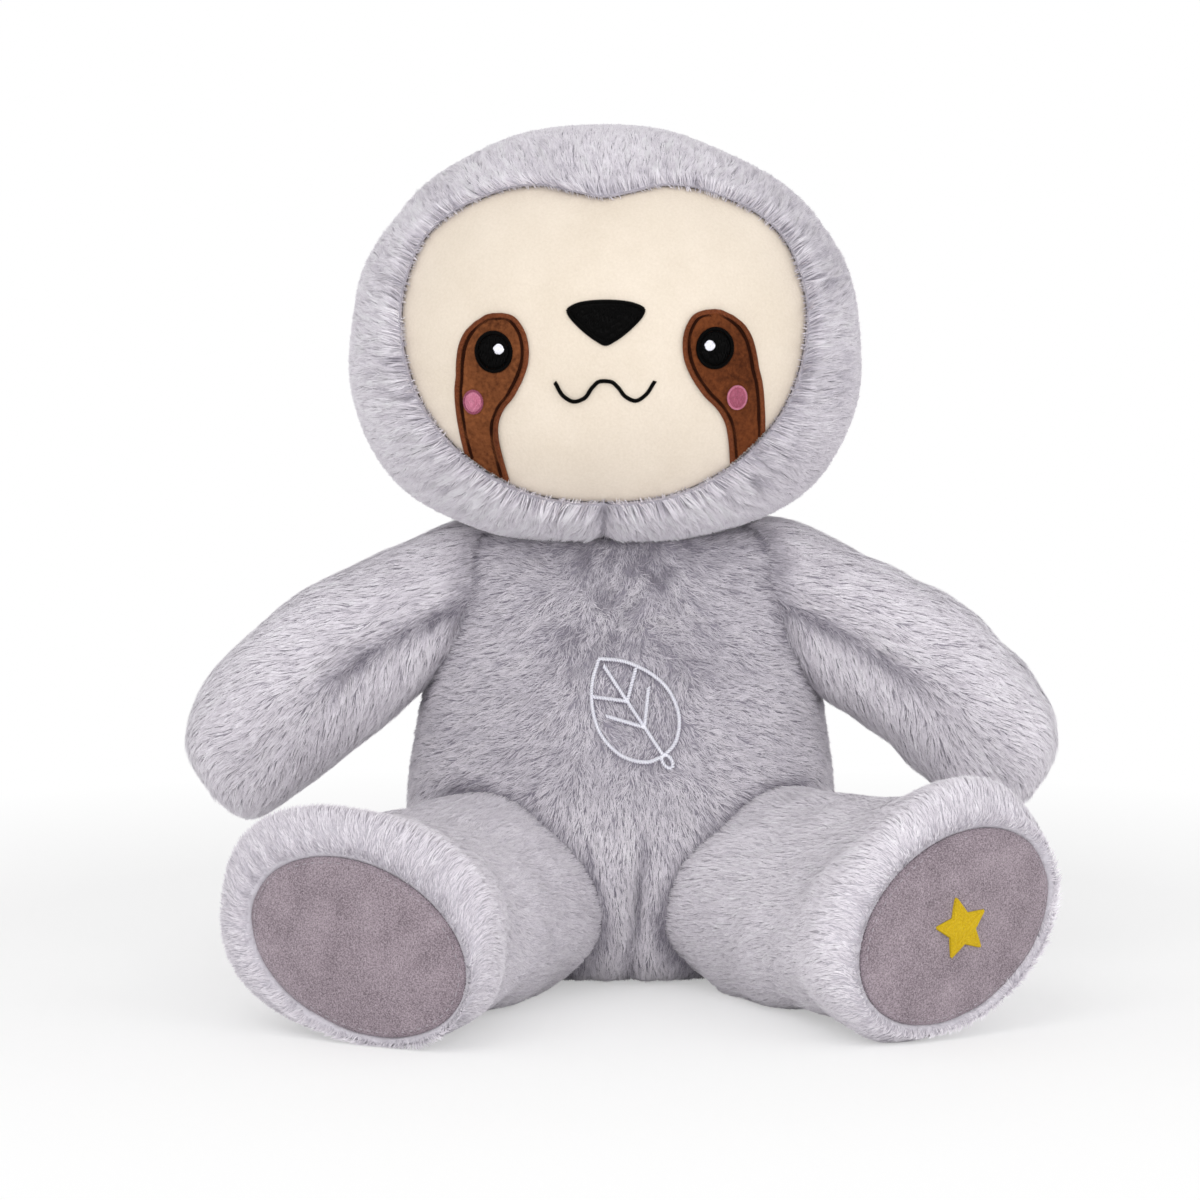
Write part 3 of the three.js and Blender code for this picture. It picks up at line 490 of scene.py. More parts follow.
# Thread
THREAD_RADIUS = 0.3
THREAD_PITCH = 0.58
THREAD_SLANT = 0.35
THREAD_END_SHARE = 0.45
FILL_THREAD_SHARE = 1.15
SURFACE_STEP = 0.2
SATIN_COLUMNS = 7
SATIN_ROUND_SHARE = 0.92
RIDGE_SINK = 0.25
LEAST_STITCHES = 4
STITCH_DIPS = (-0.28, 0, 0.06, 0, -0.28)
SHORTEST_STITCH = 0.3
LAST_STITCH = 0.8
FIRST_STITCH_SHARES = (0.3, 1)
STITCH_SHARES = (0.85, 1.15)
BACKING_SHARES = (1, 0.8, 0.6, 0.4, 0.2, 0.02)
BACKING_SINK = 0.06
RING_CORNERS = 120
SMALL_RING_CORNERS = 40
RUNNING_STITCH = 2.3
RUNNING_SPACE = 1.5
RUNNING_STEPS = 10
RUNNING_SINK = 0.28
RUNNING_RISE = 0.3
RUNNING_RADIUS = 0.26

# Satin lines: width, lift, height, slant of the threads, their radius and their spacing
FINE = (THREAD_SLANT, THREAD_RADIUS, THREAD_PITCH)
SATINS = {
    "patch_border": (2.1, -0.2, 1.0, *FINE), "patch_groove": (1.4, 0.2, 0.2, *FINE),
    "eye": (1.8, 0, 0.9, *FINE), "cheek": (1.0, 0.1, 0.6, *FINE), "nose": (1.9, 0, 1.1, *FINE),
    "mouth": (1.7, 0, 1.0, *FINE), "star": (1.3, 0.1, 0.8, *FINE), "leaf": (1.5, 0, 1.5, 0.9, 0.42, 1.05),
}

# Filled stitching: lift, height, the way of the threads, how long a stitch is, and their spacing
FILLINGS = {
    "eye": (0.45, 0.9, 90, 5, THREAD_PITCH), "glint": (1.5, 0.5, 80, 6, 0.34),
    "cheek": (0.3, 0.6, 75, 7, THREAD_PITCH), "nose": (0.7, 0.9, 62, 5, THREAD_PITCH),
    "star": (0.7, 0.7, 62, 5, THREAD_PITCH),
}

# Colours as seen, 0 to 255, and the curve from them to amounts of light, straight below its knee
TONE_MOST = 255
TONE_KNEE = 10
TONE_SLOPE = 12.92
TONE_OFFSET = 0.055
TONE_POWER = 2.4
# The darkest fur tone is there for painted shade in creases and seams
FUR_TONES = [
    (136, 131, 142), (172, 167, 177), (194, 189, 198), (212, 207, 215), (227, 222, 229),
    (239, 235, 241), (248, 246, 250),
]

# Cloths and threads: the two colours each wanders between, its roughness, the size of its grain, how
# far the grain stands up, the share of broad patches in it, its sheen and its gloss
CLOTHS = {
    # The cloths under the pile are darker than the pile, as painted shade in the gaps between strands; the
    # one under the body's pile is darkest, as painted shade on the body
    "cloth_under_body_fur": ((128, 123, 134), (160, 155, 166), 0.95, 2.2, 0.5, 0.3, 0.2, 0.2),
    "cloth_under_grey_fur": ((156, 151, 161), (186, 181, 191), 0.95, 2.2, 0.5, 0.3, 0.2, 0.2),
    "cloth_under_pale_fur": ((188, 184, 192), (214, 210, 218), 0.95, 2.2, 0.5, 0.3, 0.2, 0.2),
    "cream_velour": ((218, 205, 188), (230, 218, 203), 0.9, 1.1, 0.16, 0.45, 0.35, 0.2),
    "brown_velour": ((62, 30, 14), (138, 82, 48), 0.85, 2.0, 0.35, 0.5, 0, 0.08),
    # A darker copy of the brown velour, as painted shade on the right patch
    "shaded_brown_velour": ((48, 20, 8), (118, 64, 34), 0.85, 2.0, 0.35, 0.5, 0, 0.08),
    "grey_velour": ((92, 80, 88), (182, 168, 176), 0.92, 0.6, 0.35, 0.2, 0.15, 0.2),
    "brown_thread": ((84, 38, 18), (142, 80, 48), 0.6, 0.9, 0.05, 0.3, 0, 0.15),
    # Near black brown thread laid in the groove inside each patch's border, as painted shadow in the groove
    "groove_shadow_thread": ((34, 13, 6), (56, 26, 14), 0.8, 0.9, 0.05, 0.3, 0, 0.05),
    "pad_thread": ((158, 148, 156), (176, 168, 176), 0.6, 0.9, 0.05, 0, 0.2, 0.2),
    "black_thread": ((1, 1, 1), (8, 7, 7), 0.5, 0.9, 0.05, 0.3, 0, 0.06),
    "pink_thread": ((184, 98, 126), (218, 142, 168), 0.45, 0.9, 0.05, 0.3, 0.1, 0.4),
    # A darker copy of the pink thread, as painted shade on the right cheek
    "shaded_pink_thread": ((142, 62, 86), (186, 102, 128), 0.45, 0.9, 0.05, 0.3, 0.1, 0.4),
    "pink_border_thread": ((136, 60, 86), (168, 84, 112), 0.45, 0.9, 0.05, 0.3, 0.1, 0.4),
    "white_thread": ((226, 225, 237), (250, 250, 255), 0.42, 0.9, 0.05, 0.3, 0.1, 0.5),
    "yellow_thread": ((192, 158, 8), (218, 188, 26), 0.5, 0.9, 0.05, 0.3, 0, 0.3),
}
FUR_FINISH = (0.9, 0.15, 0.15)
# The right patch and the right cheek take darker copies of the left's velour and pink thread, as painted
# shade on the right side of the face
PATCH_CLOTHS = {"left": "brown_velour", "right": "shaded_brown_velour"}
CHEEK_THREADS = {"left": "pink_thread", "right": "shaded_pink_thread"}
CHEEK_BORDER_THREADS = {"left": "pink_border_thread", "right": "pink_thread"}
SHEEN_ROUGHNESS = 0.5
GRAIN_DETAIL = 4
GRAIN_ROUGHNESS = 0.65
BROAD_GRAINS = 22
BROAD_DETAIL = 3
BLEND_SHARES = (0.33, 0.67)

# Studio, with the floor's fade in metres from the origin, and each lamp's place, size and power
FLOOR_REACH = 4000
FLOOR_Z = -0.2
FLOOR_WHITE = 0.99
FLOOR_FINISH = (0.9, 0, 0.1)
FLOOR_FADE = (0.3, 0.55)
FLOOR_LEAST_GLOW = 0.42
WORLD_STRENGTH = 0.72
LAMP_TARGET = (0, 0, 170)
LAMPS = {
    "key": ((-700, -1500, 1700), 1400, 10), "fill": ((1300, -1200, 900), 1200, 5),
    "front": ((100, -2200, 250), 1600, 16),
}
VIEW_ELEVATION = 7
VIEW_DISTANCE = 2300
VIEW_TARGET = (-9.2, 0, 155)
VIEW_SPAN = 504
VIEW_END = 50
SENSOR = 36


# Numbers and curves

def unit(v):
    length = np.linalg.norm(v, axis=-1, keepdims=True)
    return v / np.maximum(length, TINY)


def signed_power(value, power):
    return np.sign(value) * np.abs(value) ** power


def smoothstep(value, low, high):
    t = np.clip((value - low) / (high - low), 0, 1)
    return t * t * (3 - 2 * t)


def falling(value, low, high):
    """One below a band, fading to zero above it."""
    return smoothstep(-value, -high, -low)


def hill(distance, reach, power=2):
    """One at no distance, fading to zero beyond the reach."""
    return np.exp(-(distance / reach) ** power)


def neighbour_shade(gap, reach):
    """The weight of painted shade near a neighbour: one where it is touched, fading to zero some way off."""
    return hill(np.maximum(gap, 0), reach)


def mixed(amounts, **shares):
    """The plain amount, with each other amount added by its share."""
    total = amounts["plain"]
    for name, share in shares.items():
        total = total + amounts[name] * share
    return total


def waves(points, period, seed, count):
    """Waves of many ways and lengths over points, as (way, pitch, values)."""
    chance = np.random.default_rng(seed)
    for _ in range(count):
        way = unit(chance.normal(size=3))
        pitch = 2 * math.pi / (period * chance.uniform(*WAVE_SHARES))
        yield way, pitch, np.sin(points @ way * pitch + chance.uniform(0, 2 * math.pi))


def ripple(points, name, turn=0):
    """A smooth wandering value over points in space. Its turn gives another of the same kind."""
    strength, period, seed = RIPPLES[name]
    total = sum(values for _, _, values in waves(points, period, seed + turn, RIPPLE_WAVES))
    return strength * (total / math.sqrt(RIPPLE_WAVES))


def drawn_out(points, flow, period, seed):
    """A wandering value whose marks are long and narrow and lie along the flow."""
    total = sum(
        values * np.sinc(flow @ way * pitch * BUNDLE_LENGTH / (2 * math.pi))
        for way, pitch, values in waves(points, period, seed, BUNDLE_WAVES)
    )
    return np.clip(total / max(total.std(), TINY), -MOST_BUNDLE, MOST_BUNDLE)


def round_angles(count):
    return np.linspace(0, 2 * np.pi, count, endpoint=False)


def looped(line):
    return np.vstack([line, line[:1]])


def smooth(points, count, closed=False):
    """Evenly spaced points on a smooth curve through the given ones."""
    p = np.asarray(points, float)
    if closed:
        p = np.vstack([p[-1:], p, p[:2]])
    else:
        p = np.vstack([2 * p[:1] - p[1:2], p, 2 * p[-1:] - p[-2:-1]])
    runs = []
    for a, b, c, d in zip(p, p[1:], p[2:], p[3:]):
        k1 = math.sqrt(max(np.linalg.norm(b - a), TINY))
        k2 = k1 + math.sqrt(max(np.linalg.norm(c - b), TINY))
        k3 = k2 + math.sqrt(max(np.linalg.norm(d - c), TINY))
        t = np.linspace(k1, k2, CURVE_STEPS, endpoint=False)[:, None]
        ab = a * (k1 - t) / k1 + b * t / k1
        bc = b * (k2 - t) / (k2 - k1) + c * (t - k1) / (k2 - k1)
        cd = c * (k3 - t) / (k3 - k2) + d * (t - k2) / (k3 - k2)
        abc = ab * (k2 - t) / k2 + bc * t / k2
        bcd = bc * (k3 - t) / (k3 - k1) + cd * (t - k1) / (k3 - k1)
        runs.append(abc * (k2 - t) / (k2 - k1) + bcd * (t - k1) / (k2 - k1))
    return spaced(np.vstack(runs + [p[-2:-1]]), count, closed)


def spaced(line, count, closed=False):
    """The same line with evenly spaced points. A closed one leaves out its repeated last point."""
    length = np.concatenate([[0], np.cumsum(np.linalg.norm(np.diff(line, axis=0), axis=1))])
    at = np.linspace(0, length[-1], count + 1)
    found = np.stack([np.interp(at, length, line[:, k]) for k in range(line.shape[1])], axis=1)
    return found[:-1] if closed else found


def mirrored(half):
    return list(half) + [(-x, z) for x, z in half[-2:0:-1]]


def line_length(line):
    return float(np.linalg.norm(np.diff(line, axis=0), axis=1).sum())


def within(outline, points):
    """Which flat points lie inside a closed outline."""
    inside = np.zeros(len(points), bool)
    x, z = points[:, 0], points[:, 1]
    for (x1, z1), (x2, z2) in zip(outline, np.roll(outline, -1, axis=0)):
        if z1 == z2:
            continue
        crosses = (z1 > z) != (z2 > z)
        inside ^= crosses & (x < x1 + (z - z1) * (x2 - x1) / (z2 - z1))
    return inside


def nearest(flat, line):
    """How far each flat point is from the nearest point of a line."""
    found = np.empty(len(flat))
    for start in range(0, len(flat), BATCH):
        gap = np.linalg.norm(flat[start:start + BATCH, None] - line[None], axis=2)
        found[start:start + BATCH] = gap.min(axis=1)
    return found


def turned_flat(points, degrees, middle):
    """Flat points turned about the origin and moved to a middle."""
    p = np.asarray(points, float)
    c, s = math.cos(math.radians(degrees)), math.sin(math.radians(degrees))
    x = middle[0] + p[..., 0] * c - p[..., 1] * s
    return np.stack([x, middle[1] + p[..., 0] * s + p[..., 1] * c], axis=-1)


def in_space(flat):
    return np.concatenate([flat, np.zeros((*flat.shape[:-1], 1))], axis=-1)


def turn_z(degrees):
    c, s = math.cos(math.radians(degrees)), math.sin(math.radians(degrees))
    return np.array([[c, -s, 0], [s, c, 0], [0, 0, 1]])


def turn_y(degrees):
    c, s = math.cos(math.radians(degrees)), math.sin(math.radians(degrees))
    return np.array([[c, 0, s], [0, 1, 0], [-s, 0, c]])


def to_world(local, place):
    turn, origin = place
    return local @ turn.T + origin


def to_local(world, place):
    turn, origin = place
    return (world - origin) @ turn


# Forms

BODY_PROFILE = smooth(BODY_SHARES, BODY_PROFILE_STEPS)


def body_width(height):
    return np.interp(height, BODY_PROFILE[:, 1], BODY_PROFILE[:, 0])


def body_depth(y, height):
    depth = np.where(y < 0, BODY_FRONT_DEPTH, BODY_BACK_DEPTH)
    return depth * (1 - (1 - BODY_TOP_DEPTH_SHARE) * height)


def body_gap(points):
    """About how far points lie outside the body, less than zero within it."""
    height = (points[:, 2] + FLOOR_CUT) / BODY_HEIGHT
    width = np.maximum(body_width(height), BODY_LEAST_WIDTH_SHARE)
    across = np.abs(points[:, 0]) / (width * BODY_HALF_WIDTH)
    along = np.abs(points[:, 1]) / (width * body_depth(points[:, 1], height))
    ratio = (across ** BODY_POWER + along ** BODY_POWER) ** (1 / BODY_POWER)
    gap = np.linalg.norm(points[:, :2], axis=1) * (1 - 1 / np.maximum(ratio, LEAST_SHARE))
    return np.where((height > 0) & (height < 1), gap, FAR)


def chest_at(x, z, lift):
    """The front of the body over flat points, raised by a lift."""
    height = (z + FLOOR_CUT) / BODY_HEIGHT
    width = body_width(height)
    across = np.clip(np.abs(x) / (width * BODY_HALF_WIDTH), 0, 1 - LEAST_SHARE) ** BODY_POWER
    y = -width * body_depth(-1, height) * (1 - across) ** (1 / BODY_POWER)
    return np.stack([x, y - lift, z], axis=-1)


def head_reach(way):
    wide = np.abs(way[..., 0]) / HEAD_HALF_WIDTH
    deep = np.abs(way[..., 1]) / np.where(way[..., 1] < 0, HEAD_FRONT_DEPTH, HEAD_BACK_DEPTH)
    tall = np.abs(way[..., 2]) / np.where(way[..., 2] > 0, HEAD_RISE, HEAD_DROP)
    power = HEAD_BOTTOM_POWER + (HEAD_TOP_POWER - HEAD_BOTTOM_POWER) * (1 + way[..., 2]) / 2
    return (wide ** power + deep ** power + tall ** power) ** (-1 / power)


def head_gap(points):
    """How far points lie outside the head, less than zero within it."""
    offset = points - np.array(HEAD_CENTRE)
    return np.linalg.norm(offset, axis=-1) - head_reach(unit(offset))


def head_front(x, z):
    """Where the front of the head is over flat points, found by halving."""
    near = np.zeros_like(x)
    far = np.full_like(x, HEAD_FRONT_DEPTH)
    for _ in range(HEAD_HALVINGS):
        middle = (near + far) / 2
        inside = head_gap(np.stack([x, HEAD_CENTRE[1] - middle, z], axis=-1)) < 0
        near = np.where(inside, middle, near)
        far = np.where(inside, far, middle)
    return HEAD_CENTRE[1] - near


def face_at(x, z, lift):
    """The front of the face panel over flat points, raised by a lift."""
    across = (x - FACE_X) / FACE_HALF_WIDTH
    up = (z - FACE_Z) / FACE_HALF_HEIGHT
    swell = FACE_SWELL * np.maximum(0, 1 - across ** 2 - up ** 2)
    return np.stack([x, head_front(x, z) + FACE_SINK - swell - lift, z], axis=-1)


def face_outline(grow, count):
    shape = smooth(mirrored(FACE_SHARES)[::-1], count, closed=True)
    return shape * (FACE_HALF_WIDTH + grow, FACE_HALF_HEIGHT + grow) + (FACE_X, FACE_Z)


def on_face(points):
    """Flat places on the face, which sits turned a little about its middle."""
    return turned_flat(points, FACE_TURN, (FACE_X, FACE_Z))


def arm_frame(side):
    turn = -ARM_FORWARD if side > 0 else 180 + ARM_FORWARD
    return turn_z(turn) @ turn_y(ARM_DROP), np.array([side * SHOULDER[0], SHOULDER[1], SHOULDER[2]])


def arm_gap(points, side):
    """About how far points lie outside an arm, less than zero within it."""
    p = to_local(points, arm_frame(side))
    t = p[:, 0] / ARM_LENGTH
    size = np.interp(t, *np.array(ARM_SHARES).T)
    deep = p[:, 1] / (size * ARM_HALF_DEPTH)
    tall = (p[:, 2] - ARM_BEND * np.sin(np.pi * t)) / (size * ARM_HALF_HEIGHT)
    ratio = np.maximum(np.hypot(deep, tall), LEAST_SHARE)
    gap = np.hypot(deep * ARM_HALF_DEPTH, tall * ARM_HALF_HEIGHT) * size * (1 - 1 / ratio)
    return np.where((t > ARM_SHARES[0][0]) & (t < 1), gap, FAR)


def leg_frame(leg):
    return turn_z(-90 + leg["side"] * leg["spread"]), np.array([leg["hip"], HIP_Y, HIP_Z])


def oval(angle, lean, half_length, half_width, power=2):
    along = signed_power(np.cos(angle - lean), 2 / power) * half_length
    across = signed_power(np.sin(angle - lean), 2 / power) * half_width
    y = along * math.cos(lean) - across * math.sin(lean)
    return y, along * math.sin(lean) + across * math.cos(lean)


def lean_of(leg, roll):
    return leg["side"] * math.radians(roll)


def foot_oval(leg, size, angle):
    lean = lean_of(leg, leg["foot_roll"])
    return oval(angle, lean, leg["foot_half_length"] * size, leg["foot_half_width"] * size, LEG_POWER)


def sole_oval(leg, grow, angle):
    lean = lean_of(leg, leg["sole_roll"])
    return oval(angle, lean, leg["sole_half_length"] + grow, leg["sole_half_width"] + grow)


def foot_middle(leg):
    return foot_oval(leg, 1, round_angles(FOOT_CORNERS))[1].max() - HIP_Z - FLOOR_CUT


def leg_ring(leg, share, size, sink, angle):
    foot = smoothstep(share, 0, FOOT_SHARE)
    tip_y, tip_z = foot_oval(leg, size, angle)
    lean = lean_of(leg, THIGH_ROLL)
    root_y, root_z = oval(angle, lean, THIGH_HALF_LENGTH * size, THIGH_HALF_WIDTH * size, LEG_POWER)
    y = (1 - foot) * root_y + foot * tip_y
    z = (1 - foot) * root_z + foot * (tip_z + foot_middle(leg)) - sink * THIGH_HALF_WIDTH
    return np.stack([np.full_like(y, share * LEG_LENGTH), y, z], axis=-1)


def past_ring(flat, ring, middle):
    """How far flat points lie outside a ring, told at their own angle round its middle."""
    offset, edge = flat - middle, ring - middle
    turns = np.arctan2(edge[:, 1], edge[:, 0])
    reach = np.interp(
        np.arctan2(offset[:, 1], offset[:, 0]), turns, np.linalg.norm(edge, axis=1), period=2 * np.pi,
    )
    return np.linalg.norm(offset, axis=1) - reach


def leg_gap(points, leg):
    """How far points lie outside a leg, less than zero within it."""
    p = to_local(points, leg_frame(leg))
    shares, sizes, sinks = np.array(LEG_ROWS).T
    gap = np.full(len(points), FAR)
    for step in np.linspace(*LEG_GAP_SHARES, LEG_GAP_STEPS):
        near = np.abs(p[:, 0] / LEG_LENGTH - step) <= LEG_GAP_REACH_SHARE
        if not near.any():
            continue
        size, sink = np.interp(step, shares, sizes), np.interp(step, shares, sinks)
        ring = leg_ring(leg, max(step, 0), size, sink, round_angles(LEG_GAP_CORNERS))[:, 1:]
        gap[near] = past_ring(p[near, 1:], ring, (ring.max(axis=0) + ring.min(axis=0)) / 2)
    return gap


def sole_middle(leg):
    return np.array([leg["sole_shift"], foot_middle(leg) - leg["sole_drop"]])


def sole_outline(leg, grow, count):
    return np.stack(sole_oval(leg, grow, round_angles(count)), axis=1) + sole_middle(leg)


def sole_at(leg):
    """The sole over flat places in the leg's frame, raised by a lift."""
    middle = sole_middle(leg)
    lean = lean_of(leg, leg["sole_roll"])
    place = leg_frame(leg)

    def surface(y, z, lift):
        aside, up = y - middle[0], z - middle[1]
        along = (aside * math.cos(lean) + up * math.sin(lean)) / leg["sole_half_length"]
        across = (up * math.cos(lean) - aside * math.sin(lean)) / leg["sole_half_width"]
        dome = SOLE_SWELL * np.maximum(0, 1 - along ** 2 - across ** 2)
        return to_world(np.stack([LEG_LENGTH - SOLE_SINK + dome + lift, y, z], axis=-1), place)

    return surface


# Materials

def linear(colour):
    """A colour as seen, in the even steps of light that shaders work with."""
    light = []
    for tone in colour:
        if tone > TONE_KNEE:
            light.append(((tone / TONE_MOST + TONE_OFFSET) / (1 + TONE_OFFSET)) ** TONE_POWER)
        else:
            light.append(tone / TONE_MOST / TONE_SLOPE)
    return tuple(light)


def node(tree, kind, inputs, operation=None):
    """A new shader node. Each input is a plain value or the output that is linked to it."""
    made = tree.nodes.new(f"ShaderNode{kind}")
    if operation:
        made.operation = operation
    for key, value in inputs.items():
        if isinstance(value, bpy.types.NodeSocket):
            tree.links.new(value, made.inputs[key])
        else:
            made.inputs[key].default_value = value
    return made.outputs


def shader(name, roughness, sheen, specular):
    material = bpy.data.materials.new(name)
    material.use_nodes = True
    surface = material.node_tree.nodes["Principled BSDF"]
    surface.inputs["Roughness"].default_value = roughness
    surface.inputs["Sheen Weight"].default_value = sheen
    surface.inputs["Sheen Roughness"].default_value = SHEEN_ROUGHNESS
    surface.inputs["Specular IOR Level"].default_value = specular
    return material, surface


def plain(name, colour):
    material, surface = shader(name, *FUR_FINISH)
    surface.inputs["Base Color"].default_value = (*linear(colour), 1)
    material.diffuse_color = (*linear(colour), 1)
    return material


def mottled(name, dark, light, roughness, grain, bump, patch, sheen, specular):
    """A cloth whose colour wanders between two tones, with a fine raised grain."""
    material, surface = shader(name, roughness, sheen, specular)
    tree = material.node_tree
    place = node(tree, "TexCoord", {})["Object"]
    fine = node(tree, "TexNoise", {
        "Vector": place, "Scale": METRE / grain, "Detail": GRAIN_DETAIL, "Roughness": GRAIN_ROUGHNESS,
    })["Fac"]
    scale = METRE / (grain * BROAD_GRAINS)
    broad = node(tree, "TexNoise", {"Vector": place, "Scale": scale, "Detail": BROAD_DETAIL})["Fac"]
    mix = node(tree, "Mix", {"Factor": patch, "A": fine, "B": broad})["Result"]
    colour = node(tree, "ValToRGB", {"Fac": mix})["Color"]
    for element, share, tone in zip(colour.node.color_ramp.elements, BLEND_SHARES, (dark, light)):
        element.position = share
        element.color = (*linear(tone), 1)
    raised = node(tree, "Bump", {"Distance": bump / METRE, "Strength": 1, "Height": fine})["Normal"]
    tree.links.new(colour, surface.inputs["Base Color"])
    tree.links.new(raised, surface.inputs["Normal"])
    return material


def make_materials():
    made = {f"fur_tone_{k}": plain(f"fur_tone_{k}", tone) for k, tone in enumerate(FUR_TONES)}
    return made | {name: mottled(name, *cloth) for name, cloth in CLOTHS.items()}


# Meshes

def mesh_object(name, points, faces, materials, face_slots=None, normals=None):
    """faces is a list of equal-length rows of corners, one array for each number of corners."""
    mesh = bpy.data.meshes.new(name)
    mesh.vertices.add(len(points))
    mesh.vertices.foreach_set("co", (np.asarray(points, np.float32) / METRE).ravel())
    corners = np.concatenate([f.ravel() for f in faces]).astype(np.int32)
    sizes = np.concatenate([np.full(len(f), f.shape[1]) for f in faces])
    mesh.loops.add(len(corners))
    mesh.loops.foreach_set("vertex_index", corners)
    mesh.polygons.add(len(sizes))
    starts = np.concatenate([[0], np.cumsum(sizes)[:-1]]).astype(np.int32)
    mesh.polygons.foreach_set("loop_start", starts)
    for material in materials:
        mesh.materials.append(material)
    if face_slots is not None:
        mesh.polygons.foreach_set("material_index", np.asarray(face_slots, np.int32))
    mesh.polygons.foreach_set("use_smooth", np.full(len(sizes), True))
    mesh.update(calc_edges=True)
    if normals is not None:
        mesh.normals_split_custom_set_from_vertices(normals)
    piece = bpy.data.objects.new(name, mesh)
    bpy.context.scene.collection.objects.link(piece)
    return piece


def grid_faces(rows, sides, closed_sides=True, closed_rows=False):
    row, side = np.meshgrid(
        np.arange(rows if closed_rows else rows - 1),
        np.arange(sides if closed_sides else sides - 1), indexing="ij",
    )
    here, next_row = row * sides, (row + 1) % rows * sides
    beside = (side + 1) % sides
    corners = [here + side, here + beside, next_row + beside, next_row + side]
    return np.stack(corners, axis=-1).reshape(-1, 4)


def end_caps(points, sides):
    """The first and the last ring of a form, each as one face."""
    return np.stack([np.arange(sides)[::-1], np.arange(sides) + len(points) - sides])


def vertex_normals(points, faces):
    p = points[faces]
    across = np.cross(p[:, 2] - p[:, 0], p[:, 3] - p[:, 1])
    normals = np.zeros_like(points)
    for corner in range(4):
        np.add.at(normals, faces[:, corner], across)
    return unit(normals)


def outward(points, faces, centre):
    normals = vertex_normals(points, faces)
    return normals * np.sign((normals * (points - centre)).sum(axis=1).mean())


def ring_grid(rings):
    """Points and faces of a form made of rings of equally many points."""
    return np.concatenate(rings), grid_faces(len(rings), len(rings[0]))


def joined(meshes):
    """Several sets of points and four-cornered faces as one."""
    points, faces, first = [], [], 0
    for p, f in meshes:
        points.append(p)
        faces.append(f + first)
        first += len(p)
    return np.concatenate(points), np.concatenate(faces)


# Places on the frame

def settle(piece, slot, nodes, fill):
    if nodes:
        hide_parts(*nodes)


def on_body(body):
    """What fixes a piece to one body of the frame."""
    def fix(piece, slot, nodes=(), fill=None):
        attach(piece, body)
        settle(piece, slot, nodes, fill)

    return fix


def across_joint(place, span):
    """What fixes a piece to a limb: its place is baked into its points and the frame's nodes it replaces are
    hidden.
    """
    start, end = (tuple(to_world(np.array([[at, 0, 0]]), place)[0] / METRE) for at in span)

    def fix(piece, slot, nodes=(), fill=None):
        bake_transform(piece)
        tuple(start)
        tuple(end)
        settle(piece, slot, nodes, fill)

    return fix


def sew(name, made, material, body, slot, nodes=(), fill=None):
    """A piece of cloth or thread on one body, from its points and its kinds of faces."""
    points, *faces = made
    piece = mesh_object(name, points, faces, [MATERIALS[material]])
    on_body(body)(piece, slot, nodes, fill)


# Fur

def scatter(points, faces, chance):
    """Random places on a surface, as the corners that each lies between and their weights."""
    triangles = np.concatenate([faces[:, [0, 1, 2]], faces[:, [0, 2, 3]]])
    p = points[triangles]
    area = np.linalg.norm(np.cross(p[:, 1] - p[:, 0], p[:, 2] - p[:, 0]), axis=1) / 2
    count = int(area.sum() * PILE_DENSITY * (1))
    chosen = chance.choice(len(triangles), count, p=area / area.sum())
    u, v = chance.random(count), chance.random(count)
    over = u + v > 1
    u[over], v[over] = 1 - u[over], 1 - v[over]
    return triangles[chosen], np.stack([1 - u - v, u, v], axis=1)[:, :, None]


def spread(values, corners, weights):
    return (values[corners] * weights).sum(axis=1)


def ring_flow(rings):
    """The way from each ring to the next one, at every point."""
    return unit(np.gradient(np.stack(rings), axis=0)).reshape(-1, 3)


def lock_centres(places, chance):
    """For each place, the number of the place that its lock gathers to."""
    crowd = (STRAND_SPACING / LOCK_SPACING) ** 2 / 1
    wanted = max(1, int(len(places) * crowd))
    heads = chance.choice(len(places), min(len(places), wanted), replace=False)
    tree = KDTree(len(heads))
    for number, place in enumerate(places[heads]):
        tree.insert(place, number)
    tree.balance()
    return heads[[tree.find(place)[1] for place in places]]


def strands(places, normals, flow, length, lift, contrast, chance, unruly):
    """The root, middle and tip of each strand, drawn together sideways into locks."""
    count = len(places)
    flow = unit(flow - normals * (flow * normals).sum(axis=1, keepdims=True))
    aside = np.cross(normals, flow)
    heads = lock_centres(places, chance)
    ridge_height = contrast * drawn_out(places, flow, BUNDLE_WIDTH, RIDGE_SEED)
    lean = contrast * drawn_out(places, flow, BUNDLE_WIDTH * LEAN_WIDTH_SHARE, LEAN_SEED)
    stray = STRAND_STRAY * chance.normal(size=count) + LOCK_STRAY * chance.normal(size=count)[heads]
    stray += LEAN_STRAY * lean + ripple(places, "stray") + unruly * chance.normal(size=count)
    way = unit(flow * np.cos(stray)[:, None] + aside * np.sin(stray)[:, None])
    rise = lift * (1 + RIDGE_RISE_SHARE * ridge_height) + STRAND_RISE * chance.normal(size=count)
    half = (length * chance.uniform(*LENGTH_SHARES, count))[:, None] / 2
    root = places - np.minimum(MOST_SINK, SINK_SHARE * length)[:, None] * normals
    bend = root + half * tilted(way, normals, np.clip(rise + ROOT_CURL, *ROOT_RISES))
    tip = bend + half * tilted(way, normals, np.clip(rise - TIP_CURL, *TIP_RISES))
    draw = chance.uniform(*DRAW_SHARES, count)[:, None] * aside
    tip = tip + draw * ((tip[heads] - tip) * aside).sum(axis=1, keepdims=True)
    bend = bend + BEND_DRAW_SHARE * draw * ((bend[heads] - bend) * aside).sum(axis=1, keepdims=True)
    sideways = unit(np.cross(normals, way) + TWIST * chance.normal(size=(count, 1)) * normals)
    shading = LEAN_SHADING * lean[:, None] * aside + RIDGE_SHADING * ridge_height[:, None] * flow
    return root, bend, tip, sideways, heads, unit(normals + shading), ridge_height


def tilted(way, normals, angle):
    return way * np.cos(angle)[:, None] + normals * np.sin(angle)[:, None]


